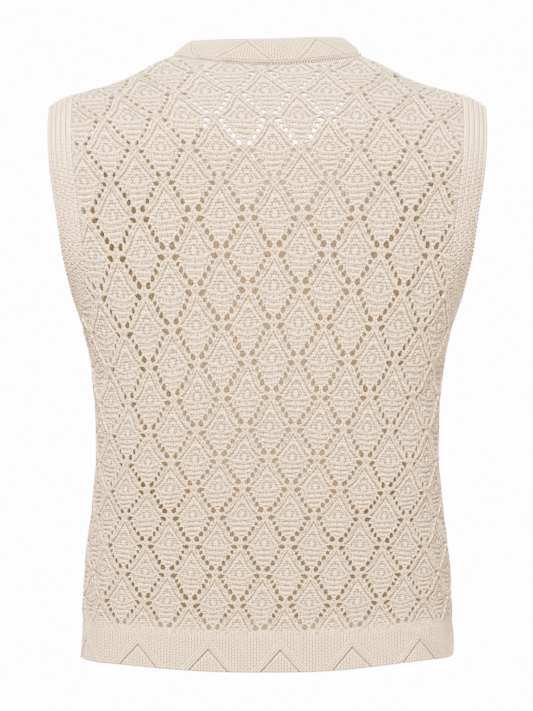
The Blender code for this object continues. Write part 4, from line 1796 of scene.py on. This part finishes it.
@dataclass
class ArmBand(RibBand):
    """The ring of rib round an armhole, plain ribs above and a slanting seed stitch below."""

    hand: int
    overlap: float = 1.0
    steps: int = 190
    rows: int = 50
    ribs: int = 5
    rib_rise: float = 1.3
    seed_pitch: float = 3.9
    seed_rise: float = 0.9

    def strip(self) -> RibStrip:
        """The armband as one sheet.

        Returns:
            The sheet.
        """
        share = np.linspace(0.0, 1.0, self.rows)
        columns = [(Face.BACK, step) for step in range(self.steps + 1)]
        columns += [(Face.FRONT, step) for step in range(self.steps - 1, 0, -1)]
        points, normals, widths = [], [], []
        for face, step in columns:
            angle = math.pi * step / self.steps
            arc, height = self.across(angle, face, share)
            arc = arc * self.hand
            place = self.form.place(arc, height, face)
            look = self.form.normal(arc, height, face)
            if step in (0, self.steps):
                place[:, 1] = 0.0
                look[:, 1] = 0.0
                look = unit(look)
            points.append(place)
            normals.append(look)
            widths.append(np.linalg.norm(place[-1] - place[0]))
        grid = np.array(points)
        middle = grid[:, self.rows // 2]
        run = np.concatenate([[0.0], np.cumsum(np.linalg.norm(np.diff(middle, axis=0), axis=1))])
        turn = np.array([math.pi * step / self.steps for _, step in columns])[:, None]
        rise = self.relief(share[None], run[:, None], turn)
        wide = share[None] * np.array(widths)[:, None]
        rise = rise + edge_drop(wide[:, -1:] - wide, 2.0, 1.0)
        run = np.broadcast_to(run[:, None], wide.shape)
        lane = np.broadcast_to(share[None] * self.ribs * STITCH, wide.shape)
        return RibStrip(grid, np.array(normals), rise, np.stack([lane, run], axis=-1), True)

    def across(self, angle: float, face: Face, share: Array) -> tuple[Array, Array]:
        """Arcs and heights from the seam to the edge at one angle round the armhole.

        Args:
            angle: the turn round the armhole, in radians.
            face: the face.
            share: shares of the way from the seam to the edge.

        Returns:
            The arcs and the heights.
        """
        seam_arc, seam_height = self.form.armhole(ARMBAND_SEAM, angle, face)
        edge_arc, edge_height = self.form.armhole(ARMBAND_EDGE, angle, face)
        arc = seam_arc - self.overlap + (edge_arc - seam_arc + self.overlap) * share
        height = seam_height + (edge_height - seam_height) * share
        if angle < 1.0:
            shoulder = self.form.shoulder(self.form.section(arc, height, face)[0])
            height = shoulder if angle == 0 else np.minimum(height, shoulder)
        if angle > math.pi - 1e-6:
            arc = self.form.side(height, face)
        return arc, height

    def relief(self, share: Array, run: Array, turn: Array) -> Array:
        """How far the band stands out.

        Args:
            share: shares of the way across the band.
            run: distances along the band.
            turn: turns round the armhole, in radians.

        Returns:
            A height for each point.
        """
        bulge = 0.85 + 0.15 * np.cos(2 * math.pi * run / WALE_ROW + 9.0 * share)
        rib = self.rib_rise * (np.abs(np.sin(math.pi * self.ribs * share)) ** 0.7 * bulge - 0.4)
        slant = np.cos(2 * math.pi * (run / self.seed_pitch + share * self.ribs * 0.5))
        seed = self.seed_rise * slant * np.abs(np.sin(math.pi * self.ribs * share)) ** 0.5
        low = smooth((turn - 0.75) / 0.7)
        return rib * (1 - 0.6 * low) + seed * (0.15 + 0.85 * low)


def linear(value: str) -> tuple[float, float, float, float]:
    """A colour for the shader from an sRGB hex value.

    Args:
        value: the colour, such as #F5E5CA.

    Returns:
        Red, green, blue and 1.
    """
    parts = [int(value[k : k + 2], 16) / 255.0 for k in (1, 3, 5)]
    light = [p / 12.92 if p <= 0.04045 else ((p + 0.055) / 1.055) ** 2.4 for p in parts]
    return light[0], light[1], light[2], 1.0


def add_node(
    tree: bpy.types.NodeTree, kind: str, inputs: dict[int | str, Any] | None = None, **settings: Any
) -> bpy.types.Node:
    """Adds a node.

    Args:
        tree: the node tree.
        kind: the node's type.
        inputs: a value, or a socket to link from, for each named or numbered input.
        settings: the node's own properties.

    Returns:
        The node.
    """
    node = tree.nodes.new(kind)
    for key, value in settings.items():
        setattr(node, key, value)
    for key, value in (inputs or {}).items():
        if isinstance(value, bpy.types.NodeSocket):
            tree.links.new(value, node.inputs[key])
        else:
            node.inputs[key].default_value = value
    return node


class Sum(NamedTuple):
    """One sum of the yarn's pattern: its result's name, what it does and what it works on."""

    result: str
    does: str
    first: str | float
    second: str | float | None = None
    third: str | float | None = None


YARN_SUMS = (
    # Where the yarn lies, in stitches, a little uneven.
    Sum("sway", "SUBTRACT", "wander_x", 0.5),
    Sum("across", "MULTIPLY_ADD", "sway", "waver", "stitch_x"),
    Sum("bob", "SUBTRACT", "wander_y", 0.5),
    Sum("down", "MULTIPLY_ADD", "bob", "waver", "stitch_y"),
    Sum("u", "DIVIDE", "across", "stitch_size"),
    Sum("v", "DIVIDE", "down", "stitch_size"),
    # A knit stitch: two slanting legs, each round across and along.
    Sum("u_part", "FRACT", "u"),
    Sum("u_off", "SUBTRACT", "u_part", 0.5),
    Sum("beside", "ABSOLUTE", "u_off"),
    Sum("slanted", "MULTIPLY_ADD", "beside", 1.3, "v"),
    Sum("slant", "FRACT", "slanted"),
    Sum("slant_off", "SUBTRACT", "slant", 0.5),
    Sum("leg", "MULTIPLY", "slant_off", 2.0),
    Sum("leg_square", "POWER", "leg", 2.0),
    Sum("round_leg", "SUBTRACT", 1.0, "leg_square"),
    Sum("side_off", "SUBTRACT", "beside", 0.25),
    Sum("side", "MULTIPLY", "side_off", 4.0),
    Sum("side_square", "POWER", "side", 2.0),
    Sum("round_side", "SUBTRACT", 1.0, "side_square"),
    Sum("knit_both", "MULTIPLY", "round_leg", "round_side"),
    Sum("knit_above", "MAXIMUM", "knit_both", 0.0),
    Sum("knit", "SQRT", "knit_above"),
    # A purl stitch: one round loop, half a stitch aside in every other course.
    Sum("course", "FLOOR", "v"),
    Sum("aside", "MULTIPLY_ADD", "course", 0.5, "u"),
    Sum("shifted", "FRACT", "aside"),
    Sum("loop_off", "SUBTRACT", "shifted", 0.5),
    Sum("loop", "MULTIPLY", "loop_off", 2.0),
    Sum("loop_square", "POWER", "loop", 2.0),
    Sum("round_loop", "SUBTRACT", 1.0, "loop_square"),
    Sum("v_part", "FRACT", "v"),
    Sum("row_off", "SUBTRACT", "v_part", 0.5),
    Sum("row", "MULTIPLY", "row_off", 2.0),
    Sum("row_square", "POWER", "row", 2.0),
    Sum("round_row", "SUBTRACT", 1.0, "row_square"),
    Sum("purl_both", "MULTIPLY", "round_loop", "round_row"),
    Sum("purl_above", "MAXIMUM", "purl_both", 0.0),
    Sum("purl", "SQRT", "purl_above"),
    # Which stitch shows where, by zone.
    Sum("knitted", "MINIMUM", "zone", 1.0),
    Sum("purled", "SUBTRACT", 1.0, "knitted"),
    Sum("knit_here", "MULTIPLY", "knit", "knitted"),
    Sum("purl_here", "MULTIPLY", "purl", "purled"),
    Sum("stitch", "ADD", "knit_here", "purl_here"),
    Sum("lining", "GREATER_THAN", "zone", 2.5),
    Sum("on_wale", "COMPARE", "zone", 1.0, 0.1),
    # Painted shade in the pits between the stitches of a raised wale.
    Sum("pit_side", "SUBTRACT", "beside", 0.5),
    Sum("pit_across", "DIVIDE", "pit_side", 0.36),
    Sum("pit_rows", "DIVIDE", "down", WALE_ROW),
    Sum("pit_run", "FRACT", "pit_rows"),
    Sum("pit_off", "SUBTRACT", "pit_run", 0.5),
    Sum("pit_along", "DIVIDE", "pit_off", 0.34),
    Sum("along_square", "MULTIPLY", "pit_along", "pit_along"),
    Sum("pit_square", "MULTIPLY_ADD", "pit_across", "pit_across", "along_square"),
    Sum("pit_depth", "SUBTRACT", 1.0, "pit_square"),
    Sum("pit_open", "MAXIMUM", "pit_depth", 0.0),
    Sum("pit", "MULTIPLY", "pit_open", "on_wale"),
    # How high the yarn stands, with its fibres.
    Sum("strength", "MULTIPLY_ADD", "knitted", -0.4, 1.0),
    Sum("relief", "MULTIPLY", "stitch", "strength"),
    Sum("height", "MULTIPLY_ADD", "fibre", 0.22, "relief"),
    # Painted shade between the stitches, in the pits and in the cloth's own hollow places.
    Sum("open", "SUBTRACT", 1.0, "stitch"),
    Sum("open_gap", "POWER", "open", 1.4),
    Sum("knit_share", "MULTIPLY_ADD", "knitted", -0.38, 1.0),
    Sum("share", "MULTIPLY_ADD", "lining", -0.5, "knit_share"),
    Sum("gap_share", "MULTIPLY", "share", "painted_gap_shade"),
    Sum("stitch_gap_shade", "MULTIPLY", "open_gap", "gap_share"),
    Sum("pit_and_gap_shade", "MULTIPLY_ADD", "pit", 1.0, "stitch_gap_shade"),
    Sum("all_painted_shade", "MULTIPLY_ADD", "hollow", 0.95, "pit_and_gap_shade"),
    Sum("dark", "MINIMUM", "all_painted_shade", 1.0),
)


@dataclass(frozen=True)
class YarnFinish:
    """Combed cotton yarn, knitted: colours, stitch size and how deep the stitches stand.

    The sizes of its unevenness are millimetres. Single fibres are too fine to show, so tufts of
    half a millimetre stand for them.
    """

    name: str
    light: str = "#F5E5CA"
    shade: str = "#E5D1B0"
    # Painted shade: the brown mixed in between stitches, in pits and in hollow places.
    gap: str = "#6A604C"
    stitch: float = STITCH
    depth: float = 1.1
    # How strongly the stitch gaps take the painted shade.
    painted_gap_shade: float = 1.15
    waver: float = 0.8
    wander_size: float = 3.03
    slub_size: float = 10.526
    tuft_size: float = 0.52632
    roughness: float = 0.92
    sheen: float = 0.25
    sheen_roughness: float = 0.45
    specular: float = 0.25

    def build(self) -> bpy.types.Material:
        """Makes the yarn's material.

        Combed cotton is matt, with a short soft fuzz that lights up at grazing angles. Shade in the
        gaps, warmed by the light its pale fibres bounce about, is painted into the colour in brown.

        Returns:
            The material.
        """
        material = bpy.data.materials.new(self.name)
        material.use_nodes = True
        tree = material.node_tree
        shader = tree.nodes["Principled BSDF"]
        known = self.sources(tree)
        for result, does, *values in YARN_SUMS:
            inputs = {k: known.get(of, of) for k, of in enumerate(values) if of is not None}
            known[result] = add_node(tree, "ShaderNodeMath", inputs, operation=does).outputs[0]
        relief = {"Strength": 1.0, "Distance": self.depth / 1000.0, "Height": known["height"]}
        bump = add_node(tree, "ShaderNodeBump", relief)
        tree.links.new(bump.outputs[0], shader.inputs["Normal"])
        plain = {"Factor": known["slub"], 6: linear(self.light), 7: linear(self.shade)}
        tone = add_node(tree, "ShaderNodeMix", plain, data_type="RGBA").outputs[2]
        # Painted shade: the gap brown is mixed over the yarn's tone.
        shaded = {"Factor": known["dark"], 6: tone, 7: linear(self.gap)}
        colour = add_node(tree, "ShaderNodeMix", shaded, data_type="RGBA").outputs[2]
        tree.links.new(colour, shader.inputs["Base Color"])
        shader.inputs["Roughness"].default_value = self.roughness
        shader.inputs["Sheen Weight"].default_value = self.sheen
        shader.inputs["Sheen Roughness"].default_value = self.sheen_roughness
        shader.inputs["Specular IOR Level"].default_value = self.specular
        return material

    def sources(self, tree: bpy.types.NodeTree) -> dict[Any, Any]:
        """What the yarn's sums start from.

        Args:
            tree: the material's nodes.

        Returns:
            Sockets and values by name.
        """
        uv = add_node(tree, "ShaderNodeUVMap", uv_map="stitch").outputs[0]
        split = add_node(tree, "ShaderNodeSeparateXYZ", {0: uv}).outputs
        place = add_node(tree, "ShaderNodeTexCoord").outputs["Object"]
        noises = {}
        for name, size, detail in (
            ("wander", self.wander_size, 1.0),
            ("fibre", self.tuft_size, 3.0),
            ("slub", self.slub_size, 4.0),
        ):
            inputs = {"Vector": place, "Scale": 1000.0 / size, "Detail": detail}
            noises[name] = add_node(tree, "ShaderNodeTexNoise", inputs).outputs
        wander = add_node(tree, "ShaderNodeSeparateXYZ", {0: noises["wander"]["Color"]}).outputs
        zone = add_node(tree, "ShaderNodeAttribute", attribute_name="zone").outputs["Fac"]
        # The hollow attribute carries painted shade.
        hollow = add_node(tree, "ShaderNodeAttribute", attribute_name="hollow").outputs["Fac"]
        return {
            "stitch_x": split[0],
            "stitch_y": split[1],
            "wander_x": wander[0],
            "wander_y": wander[1],
            "fibre": noises["fibre"]["Fac"],
            "slub": noises["slub"]["Fac"],
            "zone": zone,
            "hollow": hollow,
            "waver": self.waver * STITCH,
            "stitch_size": self.stitch,
            "painted_gap_shade": self.painted_gap_shade,
        }


@dataclass(frozen=True)
class Studio:
    """A pale floor, soft light and the camera behind the wearer."""

    camera_across: float = -0.8
    camera_distance: float = 2400.0
    camera_height: float = -270.0
    lens: float = 135.0
    floor_height: float = -1300.0
    floor_radius: float = 2200.0
    backdrop: str = "#FFFFFF"
    backdrop_power: float = 14.0
    ambient: str = "#FFEBD4"
    ambient_power: float = 0.6
    lamp_tint: str = "#FFE9D0"
    bounce_tint: str = "#FFE6C4"
    aim_height: float = -270.0
    sensor: float = 36.0
    grain: float = 25.0

    def build(self) -> None:
        """Puts up the floor, lights and camera."""
        scene = bpy.context.scene
        camera = bpy.data.objects.new("camera", bpy.data.cameras.new("camera"))
        camera.data.lens = self.lens
        camera.data.sensor_width = self.sensor
        place = (self.camera_across, -self.camera_distance, self.camera_height)
        camera.location = Vector(place) / 1000.0
        camera.rotation_euler = (math.radians(90.0), 0.0, 0.0)
        scene.collection.objects.link(camera)
        scene.camera = camera
        world = bpy.data.worlds.new("studio")
        world.use_nodes = True
        tree = world.node_tree
        tree.nodes.clear()
        path = add_node(tree, "ShaderNodeLightPath")
        ambient = {0: linear(self.ambient), 1: self.ambient_power}
        fill = add_node(tree, "ShaderNodeBackground", ambient)
        backdrop = {0: linear(self.backdrop), 1: self.backdrop_power}
        seen = add_node(tree, "ShaderNodeBackground", backdrop)
        mix = add_node(tree, "ShaderNodeMixShader", {0: path.outputs["Is Camera Ray"]})
        tree.links.new(fill.outputs[0], mix.inputs[1])
        tree.links.new(seen.outputs[0], mix.inputs[2])
        output = add_node(tree, "ShaderNodeOutputWorld")
        tree.links.new(mix.outputs[0], output.inputs[0])
        scene.world = world
        self.soft_light("key", (-0.35, -1.7, 1.15), 0.8, 400.0)
        self.soft_light("fill", (0.9, -2.3, 0.1), 1.6, 90.0)
        self.soft_light("front_key", (0.5, 1.9, 0.8), 1.2, 300.0)
        for height, power in ((-0.12, 0.3), (-0.25, 0.3), (-0.38, 0.26), (-0.50, 0.14)):
            self.glow(f"bounce_{round(-height * 100)}", height, power)
        self.floor()

    def floor(self) -> None:
        """A round pale floor under the hanging vest, matt like seamless backdrop paper."""
        paper = bpy.data.materials.new("backdrop_paper")
        paper.use_nodes = True
        tree = paper.node_tree
        place = add_node(tree, "ShaderNodeTexCoord").outputs["Object"]
        pattern = {"Vector": place, "Scale": 1000.0 / self.grain, "Detail": 3.0}
        grain = add_node(tree, "ShaderNodeTexNoise", pattern)
        ends = {"Factor": grain.outputs["Fac"], 6: linear("#F3F1EC"), 7: linear("#E9E6E0")}
        tone = add_node(tree, "ShaderNodeMix", ends, data_type="RGBA").outputs[2]
        shader = tree.nodes["Principled BSDF"]
        tree.links.new(tone, shader.inputs["Base Color"])
        shader.inputs["Roughness"].default_value = 0.95
        turns = np.radians(np.arange(0, 360, 3))
        radius, level = self.floor_radius / 1000.0, self.floor_height / 1000.0
        ring = [(radius * math.cos(turn), radius * math.sin(turn), level) for turn in turns]
        mesh = bpy.data.meshes.new("floor")
        mesh.from_pydata(ring, [], [list(range(len(ring)))])
        mesh.materials.append(paper)
        floor = bpy.data.objects.new("floor", mesh)
        bpy.context.scene.collection.objects.link(floor)

    def soft_light(
        self, name: str, place: tuple[float, float, float], size: float, power: float
    ) -> None:
        """A square soft box that faces the vest's middle.

        Args:
            name: its name.
            place: where it stands, in metres.
            size: its side, in metres.
            power: its power, in watts.
        """
        light = bpy.data.lights.new(name, "AREA")
        light.shape = "SQUARE"
        light.size = size
        light.energy = power
        light.color = linear(self.lamp_tint)[:3]
        lamp = bpy.data.objects.new(name, light)
        lamp.location = place
        aim = Vector((0.0, 0.0, self.aim_height / 1000.0)) - Vector(place)
        lamp.rotation_euler = aim.to_track_quat("-Z", "Y").to_euler()
        bpy.context.scene.collection.objects.link(lamp)

    def glow(self, name: str, height: float, power: float) -> None:
        """The warm light that pale cotton passes about inside the hollow vest.

        Args:
            name: its name.
            height: its height, in metres.
            power: its power, in watts.
        """
        light = bpy.data.lights.new(name, "POINT")
        light.shadow_soft_size = 0.05
        light.energy = power
        light.color = linear(self.bounce_tint)[:3]
        lamp = bpy.data.objects.new(name, light)
        lamp.location = (0.0, 0.0, height)
        lamp.visible_camera = False
        bpy.context.scene.collection.objects.link(lamp)


def main() -> None:
    """Builds the vest and the studio, and reports each piece."""
    logging.basicConfig(level=logging.INFO, format="%(name)s: %(message)s")
    form = BodyForm()
    body_yarn = YarnFinish("combed_cotton_lace").build()
    for name, face, eyelet_size in (("back", Face.BACK, 1.0), ("front", Face.FRONT, 0.85)):
        panel = KnitPanel(f"{name}_lace", face, form, LaceRepeat(eyelet_size=eyelet_size))
        for piece in panel.dress(body_yarn):
            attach(piece, "root")
            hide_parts(f"{name}_panel")
    # The welt and rib yarns get stronger painted shade in their stitch gaps.
    welt_yarn = YarnFinish("combed_cotton_welt", painted_gap_shade=1.6, waver=0.4).build()
    rib_yarn = YarnFinish("combed_cotton_rib", painted_gap_shade=1.4, waver=0.4).build()
    bands: tuple[tuple[RibBand, bpy.types.Material, str, tuple[float, float]], ...] = (
        (HemWelt("hem_welt_back", form, Face.BACK), welt_yarn, "welt_rib", (0.44, 0.031)),
        (HemWelt("hem_welt_front", form, Face.FRONT), welt_yarn, "welt_rib", (0.44, 0.031)),
        (NeckBand("neckband", form), rib_yarn, "fine_rib", (0.45, 0.026)),
        (ArmBand("armband_left", form, -1), rib_yarn, "fine_rib", (0.45, 0.028)),
        (ArmBand("armband_right", form, 1), rib_yarn, "fine_rib", (0.45, 0.028)),
    )
    for band, yarn, slot, flat in bands:
        piece = band.dress(yarn)
        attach(piece, "root")
        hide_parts(band.name)
    Studio().build()


if __name__ == "__main__":
    main()
